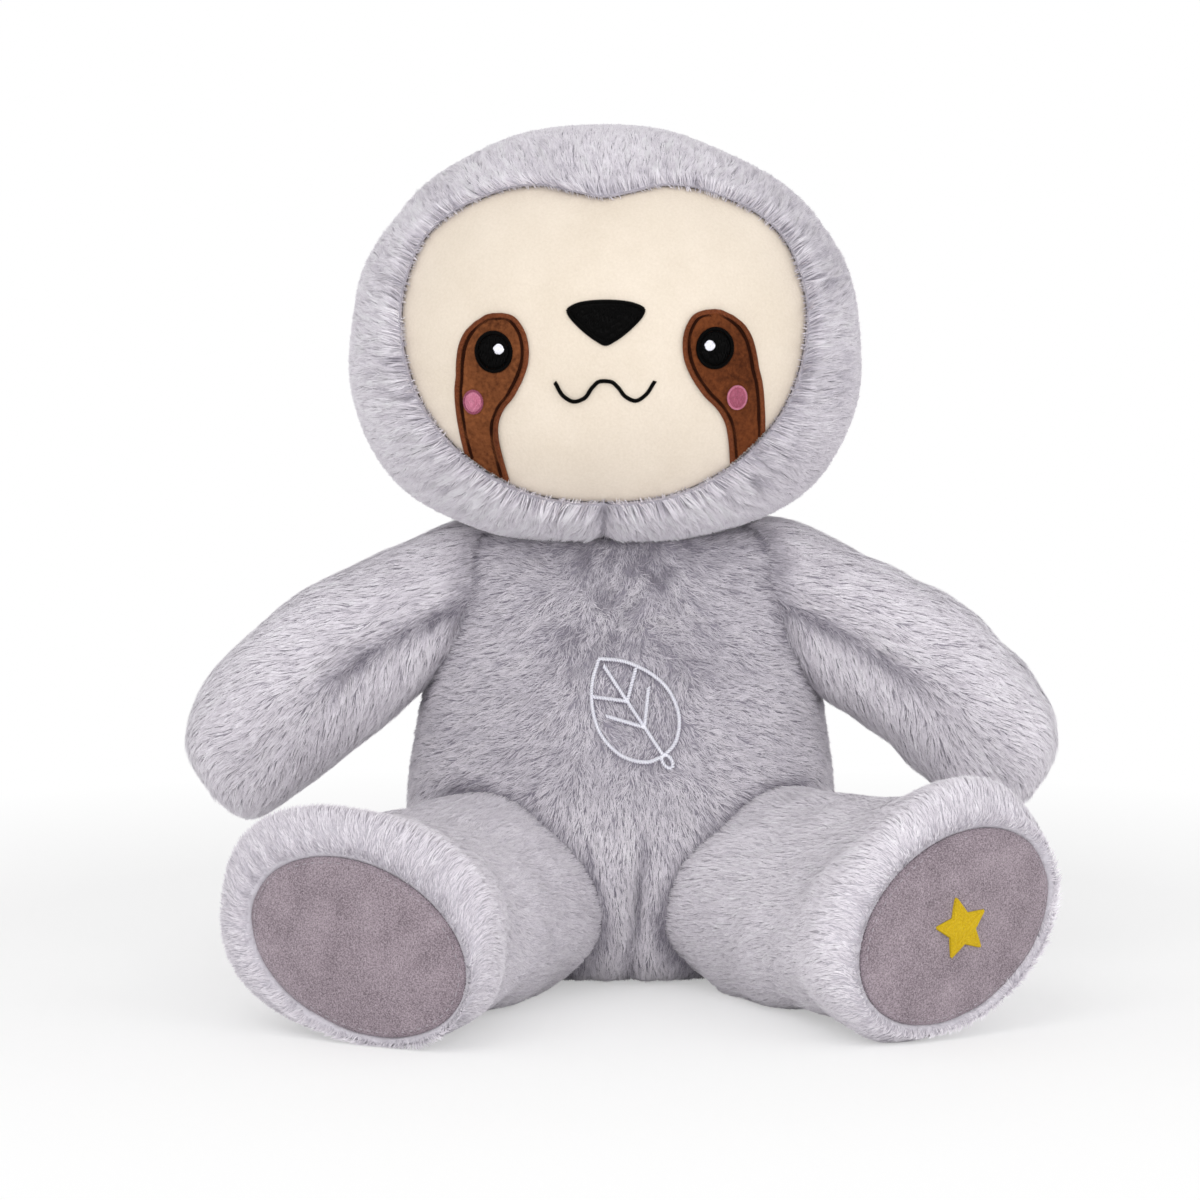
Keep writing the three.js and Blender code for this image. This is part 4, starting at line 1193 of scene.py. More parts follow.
def tone_slots(places, heads, tone, contrast, ridge_height, chance):
    """Which fur tone each strand takes: painted light on ridges and painted shade in hollows, in patches
    that wander.
    """
    shade = tone + RIDGE_LIGHT_AND_SHADE * ridge_height
    shade = shade + contrast * ripple(places, "tone") + contrast * ripple(places, "speck")
    count = len(places)
    shade = shade + LOCK_TONE * chance.normal(size=count)[heads] + STRAND_TONE * chance.normal(size=count)
    return np.clip(np.round(shade), 0, len(FUR_TONES) - 1).astype(int)


def grow_fur(part, suffix, places, normals, flow, length, lift, tone, contrast, chance, fix, unruly=0):
    """Pile as tapering strands, in as many pieces as keep each one light."""
    slot, width, _ = PARTS[part][-3:]
    root, bend, tip, sideways, heads, facing, ridge_height = strands(
        places, normals, flow, length, lift, contrast, chance, unruly,
    )
    half = (width / 2 * chance.uniform(*WIDTH_SHARES, len(places)))[:, None] * sideways
    slots = tone_slots(places, heads, tone, contrast, ridge_height, chance)
    narrow = BEND_WIDTH_SHARE * half
    shape = np.stack([root + half, root - half, bend - narrow, bend + narrow, tip], axis=1)
    shape[:, :, 2] = np.maximum(shape[:, :, 2], LEAST_HEIGHT)
    materials = [MATERIALS[f"fur_tone_{k}"] for k in range(len(FUR_TONES))]
    parts = max(1, math.ceil(len(places) / MOST_STRANDS))
    for number in range(parts):
        pick = np.arange(number, len(places), parts)
        first = shape.shape[1] * np.arange(len(pick))[:, None]
        faces = [first + [0, 1, 2, 3], first + [3, 2, 4]]
        # Each strand's root quad takes the next darker tone than its tip, as painted shade deep in the pile
        tones = np.concatenate([np.maximum(slots[pick] - 1, 0), slots[pick]])
        corner_normals = np.repeat(facing[pick], shape.shape[1], axis=0)
        points = shape[pick].reshape(-1, 3)
        name = f"{part}_fur{suffix}_{number + 1}"
        piece = mesh_object(name, points, faces, materials, tones, corner_normals)
        fix(piece, slot)


def turn_back(near, flow, length, chance):
    """Lays some of the strands nearest to an edge over it."""
    over = near & (chance.random(len(flow)) < OVER_SHARE)
    flow[over] *= -1
    length[over] = OVER_LENGTH


def clothe(part, suffix, rings, centre, fix, nodes, turn=0):
    """Makes the cloth of a part. Gives random places for its pile, the outward way at each, what
    spreads other values to them, and the chance to go on with."""
    material, open_ends, bare_rows, slot, _, seed = PARTS[part]
    points, faces = ring_grid(rings)
    sides = len(rings[0])
    skin = [faces, end_caps(points, sides)[open_ends:]]
    cloth = mesh_object(f"{part}_cloth{suffix}", points, skin, [MATERIALS[material]])
    fix(cloth, slot, nodes, FILLS[part])
    chance = np.random.default_rng(seed + turn)
    at = scatter(points, faces[bare_rows * sides:], chance)
    normals = outward(points, faces, centre)
    return spread(points, *at), unit(spread(normals, *at)), at, chance


# Thread

def surface_frame(surface, flat, way, lift):
    """Places on a surface over flat points, with the direction along way and the outward one."""
    x, z = flat[..., 0], flat[..., 1]
    here = surface(x, z, lift)
    ahead = surface(x + way[..., 0] * SURFACE_STEP, z + way[..., 1] * SURFACE_STEP, lift) - here
    beside = surface(x - way[..., 1] * SURFACE_STEP, z + way[..., 0] * SURFACE_STEP, lift) - here
    out = unit(np.cross(beside, ahead))
    towards = surface(x, z, lift + 1) - here
    return here, unit(ahead), out * np.sign((out * towards).sum(axis=-1, keepdims=True))


def tubes(flat, lift, surface, radius):
    """Threads through rows of flat points, each row one thread, as four-sided tubes with closed ends."""
    count, steps = flat.shape[:2]
    here, along, out = surface_frame(surface, flat, unit(np.gradient(flat, axis=1)), lift)
    aside = unit(np.cross(along, out))
    size = np.full((1, steps, 1), radius)
    size[:, [0, -1]] *= THREAD_END_SHARE
    ring = np.stack([here + aside * size, here + out * size, here - aside * size, here - out * size], axis=2)
    caps = np.array([[3, 2, 1, 0], 4 * (steps - 1) + np.arange(4)])
    faces = np.concatenate([grid_faces(steps, 4), caps])
    first = (4 * steps * np.arange(count))[:, None, None]
    return ring.reshape(-1, 3), (first + faces).reshape(-1, 4)


def sides_of(line, closed):
    """The way along a flat line at each point, and the way to its side."""
    if closed:
        way = unit(np.roll(line, -1, axis=0) - np.roll(line, 1, axis=0))
    else:
        way = unit(np.gradient(line, axis=0))
    return way, np.stack([way[:, 1], -way[:, 0]], axis=1)


def cross_lines(at, side, width, lift, height, round_share):
    """Flat lines from one edge of a band to the other, and how they rise over its middle."""
    across = np.linspace(-1, 1, SATIN_COLUMNS)
    flat = at[:, None] + side[:, None] * across[None, :, None] * width / 2
    rise = lift + height * np.sqrt(np.maximum(0, 1 - round_share * across ** 2))
    return flat, np.broadcast_to(rise, flat.shape[:2])


def satin(name, line, surface, base=0, closed=False):
    """A satin stitched line: a low ridge with threads laid close together across it."""
    width, lift, height, slant, radius, pitch = SATINS[name]
    lift += base
    count = max(LEAST_STITCHES, int(line_length(line) / pitch))
    at = spaced(looped(line) if closed else line, count, closed)
    way, side = sides_of(at, closed)
    flat, rise = cross_lines(at, side + slant * way, width, lift, height, SATIN_ROUND_SHARE)
    threads = tubes(flat, rise, surface, radius)
    flat, rise = cross_lines(at, side, width * SATIN_ROUND_SHARE, lift - RIDGE_SINK, height, 1)
    ridge = surface(flat[..., 0], flat[..., 1], rise).reshape(-1, 3)
    return joined([threads, (ridge, grid_faces(len(at), SATIN_COLUMNS, False, closed))])


def filled(name, outline, surface, base=0, seed=THREAD_SEED):
    """An outline filled with threads side by side, each broken into stitches, over a closed ground."""
    lift, height, degrees, stitch, pitch = FILLINGS[name]
    lift += base
    chance = np.random.default_rng(seed)
    way = np.array([math.cos(math.radians(degrees)), math.sin(math.radians(degrees))])
    side = np.array([-way[1], way[0]])
    middle = outline.mean(axis=0)
    local = np.stack([(outline - middle) @ way, (outline - middle) @ side], axis=1)
    reach = np.abs(local).max(axis=0)

    def lifted(at):
        crown = height * np.maximum(0, 1 - ((at / reach) ** 2).sum(axis=-1)) ** 0.5
        return middle + at[..., :1] * way + at[..., 1:] * side, lift + crown

    rows = []
    for offset in np.arange(local[:, 1].min() + pitch / 2, local[:, 1].max(), pitch):
        cuts = crossings(local, offset)
        for start, end in zip(cuts[::2], cuts[1::2]):
            rows += stitches_between(start, end, offset, stitch, chance)
    flat, rise = lifted(np.array(rows))
    threads = tubes(flat, rise + np.array(STITCH_DIPS), surface, THREAD_RADIUS * FILL_THREAD_SHARE)
    layers = []
    for share in BACKING_SHARES:
        flat, rise = lifted(local * share)
        layers.append(surface(flat[:, 0], flat[:, 1], rise - BACKING_SINK))
    return joined([threads, ring_grid(layers)])


def crossings(local, offset):
    """Where a closed flat outline crosses a level line, in order."""
    found = []
    for (x1, y1), (x2, y2) in zip(local, np.roll(local, -1, axis=0)):
        if (y1 > offset) != (y2 > offset):
            found.append(x1 + (offset - y1) * (x2 - x1) / (y2 - y1))
    return sorted(found)


def stitches_between(start, end, offset, stitch, chance):
    if end - start < SHORTEST_STITCH:
        return []
    breaks = [start]
    at = start + stitch * chance.uniform(*FIRST_STITCH_SHARES)
    while at < end - LAST_STITCH:
        breaks.append(at)
        at += stitch * chance.uniform(*STITCH_SHARES)
    breaks.append(end)
    steps = np.linspace(0, 1, len(STITCH_DIPS))
    level = np.full(len(steps), offset)
    return [np.stack([a + (b - a) * steps, level], axis=1) for a, b in zip(breaks, breaks[1:])]


def ring_line(middle, half_width, half_height, count=RING_CORNERS):
    angle = round_angles(count)
    return middle + np.stack([half_width * np.cos(angle), half_height * np.sin(angle)], axis=1)


# Velour

def padded_disc(outline, surface, rings, edge, drop, wander):
    """A closed cushion-edged disc over an outline. Its front rolls down to its back at the edge."""
    middle = outline.mean(axis=0)
    reach = np.linalg.norm(outline - middle, axis=1).mean()
    shares = np.sin(np.linspace(LEAST_DISC_SHARE, 1, rings) * np.pi / 2)
    layers = []
    for share in shares:
        flat = middle + (outline - middle) * share
        away = (1 - share) * reach
        roll = drop * (1 - math.sqrt(max(0, 1 - max(0, 1 - away / edge) ** 2)))
        layers.append(surface(flat[:, 0], flat[:, 1], -roll + wander(flat, away)))
    for share in shares[::-1]:
        flat = middle + (outline - middle) * share
        layers.append(surface(flat[:, 0], flat[:, 1], np.full(len(flat), -VELOUR)))
    points, faces = ring_grid(layers)
    return points, faces, end_caps(points, len(outline))


def puckered(name, middle, puckers, depth, reach):
    """How a disc wanders up and down, with puckers along its edge."""
    def wander(flat, away):
        angle = np.arctan2(flat[:, 1] - middle[1], flat[:, 0] - middle[0])
        pucker = sum(share * np.sin(angle * count + turn) for share, count, turn in puckers)
        return depth * pucker * hill(away - PUCKER_INSET, reach) + ripple(in_space(flat), name)

    return wander


# Head

def head_rings():
    """Rings from the edge of the face back over the head to its rear, with a rolled inner rim."""
    edge = face_outline(HEAD_EDGE_GROW, HEAD_CORNERS)
    x, z = edge.T
    centre = np.array(HEAD_CENTRE)
    start = unit(np.stack([x, head_front(x, z), z], axis=1) - centre)
    rear = np.array([0, 1, 0])
    angle = np.arccos(np.clip(start @ rear, -1, 1))[:, None]
    rings = [face_at(x, z, lift) for lift in HEAD_RIM_LIFTS]
    for share in np.linspace(*HEAD_RING_SHARES, HEAD_RINGS):
        way = unit((np.sin((1 - share) * angle) * start + np.sin(share * angle) * rear) / np.sin(angle))
        point = centre + way * head_reach(way)[:, None]
        bed = PILE_BED * smoothstep(share, *HEAD_BED_BAND)
        point -= way * (chin_groove(point) + BACK_SEAM_DEPTH * back_seam(point) + bed)[:, None]
        point += way * ripple(point, "head")[:, None] * smoothstep(share, *HEAD_RIPPLE_BAND)
        point[:, 0] -= CROWN_SHIFT * smoothstep(point[:, 2], *CROWN_BAND)
        rings.append(point)
    return rings


def chin_groove(point):
    low = falling(point[:, 2], *CHIN_BAND) * falling(point[:, 1], *CHIN_FRONT_BAND)
    return CHIN_GROOVE_DEPTH * hill(point[:, 0] - FACE_X, CHIN_GROOVE_REACH) * low


def back_seam(point):
    """One along the seam up the middle of the back, fading to zero beside it."""
    near = hill(point[:, 0] - BACK_SEAM_X, BACK_SEAM_REACH)
    return near * smoothstep(point[:, 1], *BACK_SEAM_BAND)


def edge_distance(places):
    """How far each place on the head lies outside the face's edge, seen from the front."""
    front = places[:, 1] < HEAD_SEEN_FROM_FRONT
    away = np.full(len(places), FAR)
    away[front] = nearest(places[front][:, [0, 2]], face_outline(0, FACE_EDGE_CORNERS))
    return away


def head_flow(places, flow, chin):
    """Back over the head and down its rear, parting under the chin."""
    back = smoothstep(places[:, 1], *HEAD_BACK_BAND)[:, None]
    flow = unit(unit(flow) * (1 - back) + np.array(HEAD_BACK_LIE) * back)
    aside = places[:, 0] - FACE_X
    part = chin * hill(aside, CHIN_PART_REACH) * np.sign(aside) * CHIN_PART_FLOW
    return flow + np.array([1, 0, 0]) * part[:, None]


def head_tone(places, from_edge, chin):
    """Painted shade round the face, fading out away from it, in the part under the chin, on the right side
    and in the back seam; painted light under the chin.
    """
    x = places[:, 0]
    return mixed(
        HEAD_TONES, edge=np.exp(-from_edge / HEAD_EDGE_SHADE_REACH),
        away=smoothstep(from_edge, *HEAD_TONE_BAND), chin=chin,
        chin_part=chin * hill(x - FACE_X, CHIN_PART_LINE), right=smoothstep(x, *HEAD_RIGHT_SHADE_BAND),
        back_seam=back_seam(places),
    )


def make_head():
    rings = head_rings()
    fix = on_body("head")
    nodes = ["head_skin", "head_stuffing"]
    places, out, at, chance = clothe("head", "", rings, np.array(HEAD_CENTRE), fix, nodes)
    flow = spread(ring_flow(rings), *at)
    keep = body_gap(places) > HEAD_INTO_BODY
    places, out, flow = places[keep], out[keep], flow[keep]
    chin = falling(places[:, 2], *UNDER_CHIN_BAND) * falling(places[:, 1], *CHIN_FRONT_BAND)
    flow = head_flow(places, flow, chin)
    from_edge = edge_distance(places)
    top = smoothstep(places[:, 2], *HEAD_TOP_BAND)
    length = PILE_LENGTH * mixed(HEAD_LENGTHS, away=smoothstep(from_edge, *HEAD_LENGTH_BAND))
    length *= 1 - HEAD_TOP_SHORTER_SHARE * top
    upright = np.exp(-from_edge / HEAD_EDGE_LIFT_REACH) * (1 - HEAD_TOP_FLATTER_SHARE * top)
    lift = mixed(HEAD_LIFTS, edge=upright)
    turn_back(from_edge < HEAD_OVER_REACH, flow, length, chance)
    tone = head_tone(places, from_edge, chin)
    contrast = mixed(HEAD_CONTRASTS, away=smoothstep(from_edge, *HEAD_CONTRAST_BAND))
    grow_fur("head", "", places, out, flow, length, lift, tone, contrast, chance, fix)


# Face

def make_face():
    outline = face_outline(FACE_GROW, FACE_CORNERS)
    middle = (FACE_X, FACE_Z)
    wander = puckered("face", middle, FACE_PUCKERS, FACE_PUCKER_DEPTH, FACE_PUCKER_REACH)
    panel = padded_disc(outline, face_at, FACE_RINGS, FACE_EDGE, FACE_EDGE_DROP, wander)
    sew("face_velour", panel, "cream_velour", "head", "cream_velour", ["face_panel"], FILLS["face"])
    for name, side in SIDES.items():
        make_patch(name, side)
        make_eye(name, side)
        make_cheek(name, side)
    make_nose()
    make_mouth()


def patch_rows(name, side, count):
    """Flat places down the middle of a patch, and its half width at each."""
    out, down, size = np.array(PATCH_ROW_SHARES).T
    across = side * (PATCH_X + out * PATCH_HALF_WIDTH) + down * PATCH_TAIL_SHIFT
    across += PATCH_TAIL_CURLS[name] * down ** PATCH_CURL_POWER
    line = np.stack([across, PATCH_TOP_Z - down * PATCH_HEIGHT, size * PATCH_HALF_WIDTH], axis=1)
    rows = smooth(line, count)
    return on_face(rows[:, :2]), rows[:, 2]


def patch_edges(name, side, inset):
    """The open line down one side of a patch, over its top and down the other."""
    line, half = patch_rows(name, side, PATCH_EDGE_ROWS)
    _, aside = sides_of(line, False)
    half = np.maximum(half - inset, PATCH_LEAST_HALF_WIDTH)[:, None]
    line = line + np.array([0, -inset]) * np.exp(-np.arange(len(line)) / PATCH_TOP_ROWS)[:, None]
    edge = spaced(np.vstack([(line + aside * half)[::-1], line - aside * half]), PATCH_EDGE_STEPS)
    return edge[within(face_outline(PATCH_THREAD_TUCK, FACE_CORNERS), edge)]


def make_patch(name, side):
    line, half = patch_rows(name, side, PATCH_ROWS)
    _, aside = sides_of(line, False)
    across = np.linspace(-1, 1, PATCH_COLUMNS)
    flat = line[:, None] + aside[:, None] * across[None, :, None] * half[:, None, None]
    crown = PATCH_LIFT + PATCH_CROWN * (1 - across ** PATCH_CROWN_POWER)
    crown[[0, -1]] = GAP
    crown = crown + ripple(in_space(flat).reshape(-1, 3), "patch").reshape(flat.shape[:2])
    points = face_at(flat[..., 0], flat[..., 1], crown).reshape(-1, 3)
    faces = grid_faces(len(line), len(across), False)
    middles = flat.reshape(-1, 2)[faces].mean(axis=1)
    faces = faces[within(face_outline(PATCH_CLOTH_TUCK, FACE_CORNERS), middles)]
    nodes = [f"eye_patch_{name}"]
    # The right patch's velour is a darker copy, as painted shade
    sew(f"patch_velour_{name}", (points, faces), PATCH_CLOTHS[name], "head", "brown_velour", nodes)
    border, groove = SATINS["patch_border"][0], SATINS["patch_groove"][0]
    # The groove line is a dark thread strip, as painted shadow in the groove inside the border
    for kind, inset, thread in (
        ("border", border / 2, "brown_thread"), ("groove", border + groove / 2, "groove_shadow_thread"),
    ):
        made = satin(f"patch_{kind}", patch_edges(name, side, inset), face_at, PATCH_LIFT)
        sew(f"patch_{kind}_{name}", made, thread, "head", "brown_velour")


def make_eye(name, side):
    middle = on_face((side * EYE_X, EYE_Z))
    border = SATINS["eye"][0]
    rim = ring_line(middle, EYE_HALF_WIDTH - border / 2, EYE_HALF_HEIGHT - border / 2)
    inner = ring_line(middle, EYE_HALF_WIDTH - border, EYE_HALF_HEIGHT - border)
    made = joined([
        satin("eye", rim, face_at, EYE_LIFT, closed=True), filled("eye", inner, face_at, EYE_LIFT),
    ])
    sew(f"eye_stitching_{name}", made, "black_thread", "head", "black_satin_stitch", [f"eye_{name}"])
    radius = GLINT_RADIUS - THREAD_RADIUS
    middle = on_face((side * (EYE_X - GLINT_IN), EYE_Z + GLINT_UP))
    spot = ring_line(middle, radius, radius * GLINT_HEIGHT_SHARE, SMALL_RING_CORNERS)
    glint = filled("glint", spot, face_at, EYE_LIFT)
    sew(f"glint_stitching_{name}", glint, "white_thread", "head", "white_thread", [f"eye_glint_{name}"])


def make_cheek(name, side):
    middle = on_face((side * CHEEK_X, CHEEK_Z))
    fill, rim = (
        ring_line(middle, CHEEK_HALF_WIDTH - inset, CHEEK_HALF_HEIGHT - inset)
        for inset in (CHEEK_FILL_INSET, CHEEK_BORDER_INSET)
    )
    slot = "pink_satin_stitch"
    # The right cheek's fill thread is a darker copy, as painted shade
    cheek = filled("cheek", fill, face_at, EYE_LIFT)
    sew(f"cheek_stitching_{name}", cheek, CHEEK_THREADS[name], "head", slot, [f"cheek_{name}"])
    border = satin("cheek", rim, face_at, EYE_LIFT, closed=True)
    sew(f"cheek_border_{name}", border, CHEEK_BORDER_THREADS[name], "head", slot)


def make_nose():
    shape = smooth(NOSE_SHARES, NOSE_CORNERS, closed=True)
    outline = shape * (NOSE_HALF_WIDTH, NOSE_HALF_HEIGHT) + (FACE_X + NOSE_X, FACE_Z + NOSE_Z)
    _, side = sides_of(outline, True)
    border = SATINS["nose"][0]
    made = joined([
        satin("nose", outline - side * border / 2, face_at, GAP, closed=True),
        filled("nose", outline - side * border * NOSE_FILL_SHARE, face_at, GAP),
    ])
    sew("nose_stitching", made, "black_thread", "head", "black_satin_stitch", ["nose"])


def make_mouth():
    shape = smooth(MOUTH_SHARES, MOUTH_STEPS)
    line = on_face(shape * (MOUTH_HALF_WIDTH, MOUTH_HALF_HEIGHT) + (0, MOUTH_Z))
    made = satin("mouth", line, face_at)
    sew("mouth_stitching", made, "black_thread", "head", "black_satin_stitch", ["mouth"])


# Body

def body_rings():
    angle = round_angles(BODY_CORNERS)
    across = signed_power(np.cos(angle), 2 / BODY_POWER)
    along = signed_power(np.sin(angle), 2 / BODY_POWER)
    rings = []
    for width, height in smooth(BODY_SHARES, BODY_RINGS)[1:-1]:
        z = np.full_like(angle, height * BODY_HEIGHT - FLOOR_CUT)
        y = along * width * body_depth(along, height)
        ring = np.stack([across * width * BODY_HALF_WIDTH, y, z], axis=1)
        way = unit(ring * (1, 1, 0))
        ring -= way * (body_folds(ring) + BACK_SEAM_DEPTH * back_seam(ring) + PILE_BED)[:, None]
        ring += way * (ripple(ring, "body") * smoothstep(ring[:, 2], *BODY_FLAT_BAND))[:, None]
        ring[:, 2] = np.maximum(ring[:, 2], 0)
        rings.append(ring)
    return rings


def body_folds(point):
    """The seam up the crotch and the gather beside it."""
    low = falling(point[:, 2], *CROTCH_BAND) * falling(point[:, 1], *BELLY_BAND)
    fold = CROTCH_FOLD * hill(point[:, 0] - CROTCH_FOLD_X, CROTCH_FOLD_REACH)
    return (CROTCH_DEPTH * seam_nearness(point) + fold) * low


def seam_nearness(point):
    """One along the curved seam up the crotch, fading to zero beside it."""
    middle = CROTCH_X + CROTCH_SHIFT * smoothstep(point[:, 2], *CROTCH_RISE_BAND)
    return hill(point[:, 0] - middle, CROTCH_REACH)


def body_flow(places):
    """Out to the sides over the chest, down over the belly and the back, and unruly round the leaf."""
    x, y, z = places.T
    turn = np.arctan2(x, -y)
    around = np.stack([np.cos(turn), np.sin(turn), np.zeros(len(turn))], axis=1) * np.sign(turn)[:, None]
    across = smoothstep(np.abs(turn), *BODY_TURN_BAND) * falling(np.abs(turn), *BODY_TURN_BACK_BAND)
    across *= smoothstep(z, *BODY_AROUND_BAND)
    down = np.array([0, 0, -1]) * (1 - BODY_AROUND_LESS_SHARE * across)[:, None]
    flow = around * (BODY_AROUND_FLOW * across)[:, None] + down
    wild = hill(x - WILD_X, WILD_REACH) * falling(y, *BELLY_BAND) * smoothstep(z, *WILD_BAND)
    flow[:, 0] += wild * ripple(places, "wild_across")
    flow[:, 2] += wild * ripple(places, "wild_up")
    return flow, wild


def body_neighbours(places):
    """How far places on the body lie from the head, from the nearer arm and from the nearer leg."""
    to_arm = np.minimum(*[arm_gap(places, side) for side in SIDES.values()])
    to_leg = np.minimum(*[leg_gap(places, leg) for leg in LEGS.values()])
    return head_gap(places), to_arm, to_leg


def body_tone(places, chest, inside, to_head, to_arm, to_leg):
    """Painted shade on the front, lifted at the back, with more on the chest under the head in mottled
    patches, in the seams and where other parts meet the body; painted light low down.
    """
    x, y, z = places.T
    mottle = np.clip(MOTTLE_LEVEL + ripple(places, "mottle"), 0, MOST_MOTTLE)
    crotch = seam_nearness(places) * falling(z, *CROTCH_SHADE_BAND) * falling(y, *BELLY_BAND)
    return mixed(
        BODY_TONES, chest=chest, dark=chest * mottle * ~inside, low=falling(z, *BODY_LOW_LIGHT_BAND),
        leg=neighbour_shade(to_leg, CREASE_REACH), arm=neighbour_shade(to_arm, CREASE_REACH),
        head=neighbour_shade(to_head, NECK_CREASE_REACH), crotch=crotch, back_seam=back_seam(places),
        back=smoothstep(y, *BODY_BACK_BAND),
    )


def make_body():
    fix = on_body("body")
    nodes = ["body_skin", "body_stuffing", "bead_pouch"]
    centre = np.array([0, 0, BODY_HEIGHT / 2])
    places, out, _, chance = clothe("body", "", body_rings(), centre, fix, nodes)
    to_head, to_arm, to_leg = body_neighbours(places)
    near, inside = leaf_nearness(places)
    keep = (places[:, 2] > BODY_ABOVE_FLOOR) & (near > SATINS["leaf"][0] * LEAF_BARE_SHARE)
    keep &= (to_head > INTO_HEAD) & (to_arm > INTO_ARM) & (to_leg > INTO_LEG)
    places, out, near, inside = places[keep], out[keep], near[keep], inside[keep]
    x, y, z = places.T
    flow, wild = body_flow(places)
    pressed = hill(near, LEAF_PRESS_REACH)
    chest = hill(np.hypot(x - CHEST_MIDDLE[0], z - CHEST_MIDDLE[1]), CHEST_REACH)
    length = PILE_LENGTH * mixed(BODY_LENGTHS, chest=chest) * np.where(inside, LEAF_LENGTH_SHARE, 1)
    length *= 1 - BODY_PRESSED_SHORTER_SHARE * pressed
    lift = mixed(BODY_LIFTS, chest=chest) * (1 - BODY_PRESSED_FLATTER_SHARE * pressed)
    chest *= falling(y, *CHEST_FRONT_BAND)
    tone = body_tone(places, chest, inside, to_head[keep], to_arm[keep], to_leg[keep])
    contrast = mixed(BODY_CONTRASTS, chest=chest)
    unruly = mixed(BODY_UNRULY, wild=wild * (1 - pressed))
    grow_fur("body", "", places, out, flow, length, lift, tone, contrast, chance, fix, unruly)
    make_leaf()


def leaf_lines():
    """Each line of the leaf as (flat points, whether it is closed)."""
    outline = np.array(mirrored(smooth(LEAF_SHARES, LEAF_STEPS))[::-1]) * (LEAF_HALF_WIDTH, LEAF_HALF_LENGTH)
    lines = [(outline, True), ([(0, share * LEAF_HALF_LENGTH) for share in LEAF_SPINE_SHARES], False)]
    for side in SIDES.values():
        reach = side * LEAF_VEIN_REACH_SHARE * LEAF_HALF_WIDTH
        for start, end in LEAF_VEIN_SHARES:
            lines.append(([(0, start * LEAF_HALF_LENGTH), (reach, end * LEAF_HALF_LENGTH)], False))
    middle = np.array([0, -LEAF_HALF_LENGTH - LEAF_STALK_LENGTH / 2])
    stalk = ring_line(middle, LEAF_STALK_HALF_WIDTH, LEAF_STALK_LENGTH / 2, SMALL_RING_CORNERS)
    lines.append((stalk, True))
    return [(turned_flat(line, LEAF_TILT, (LEAF_X, LEAF_Z)), closed) for line, closed in lines]


def leaf_nearness(places):
    """How near each place on the body lies to a line of the leaf, and whether it is inside the leaf."""
    lines = leaf_lines()
    dense = [spaced(looped(line) if closed else line, LEAF_LINE_STEPS) for line, closed in lines]
    flat = places[:, [0, 2]]
    close = np.abs(flat - (LEAF_X, LEAF_Z)).max(axis=1) < LEAF_HALF_LENGTH * LEAF_NEAR_SHARE
    close &= places[:, 1] < 0
    near = np.full(len(places), FAR)
    near[close] = nearest(flat[close], np.vstack(dense))
    inside = np.zeros(len(places), bool)
    inside[close] = within(lines[0][0], flat[close])
    return near, inside


def make_leaf():
    made = joined([satin("leaf", line, chest_at, LEAF_LIFT, closed) for line, closed in leaf_lines()])
    sew("leaf_stitching", made, "white_thread", "body", "white_thread", ["leaf_embroidery"])


# Arms

def arm_rings(side):
    angle = round_angles(ARM_CORNERS)
    front = np.pi if side > 0 else 0
    away = np.arctan2(np.sin(angle - front), np.cos(angle - front))
    rings = []
    for share, size in smooth(ARM_SHARES, ARM_RINGS):
        run = math.sqrt(math.sin(math.pi * np.clip(share, 0, 1))) * min(1, size)
        run *= 1 - ARM_SEAM_END_SHARE * smoothstep(share, *ARM_SEAM_END_BAND)
        seam = ARM_SEAM_DEPTH * hill(away, ARM_SEAM_SPREAD) * run
        bed = PILE_BED * min(1, size / PAW_TIP_SHARE)
        y = np.cos(angle) * (size * ARM_HALF_DEPTH - seam - bed)
        z = np.sin(angle) * (size * ARM_HALF_HEIGHT - bed) + ARM_BEND * math.sin(math.pi * share)
        local = np.stack([np.full_like(y, share * ARM_LENGTH), y, z], axis=1)
        way = unit(local * (0, 1, 1))
        local += way * ripple(local, "arm", side)[:, None] * min(1, size)
        rings.append(to_world(local, arm_frame(side)))
    return rings


def arm_flow(places, side):
    """Down the arm, parting at its front seam. Also the angle from the seam and the share down the arm."""
    local = to_local(places, arm_frame(side))
    share = local[:, 0] / ARM_LENGTH
    up = local[:, 2] - ARM_BEND * np.sin(np.pi * share)
    front = -local[:, 1] * side
    angle = np.arctan2(up, front)
    turn = mixed(ARM_TURNS, paw=smoothstep(share, *ARM_TURN_BAND))
    part = np.tanh(angle / turn) * hill(np.abs(angle), ARM_PART_REACH, ARM_PART_POWER)
    part *= np.where(angle > 0, ARM_UPPER_SHARE, 1)
    around = np.stack([np.zeros_like(up), side * np.sin(angle), np.cos(angle)], axis=1)
    flow = np.array([ARM_FLOWS["along"], 0, 0]) + around * (ARM_FLOWS["around"] * part)[:, None]
    flow += np.array([0, 0, ARM_FLOWS["tip"]]) * smoothstep(share, *ARM_TIP_BAND)[:, None]
    return flow @ arm_frame(side)[0].T, np.abs(angle) + ARM_BEHIND * (front < 0), share


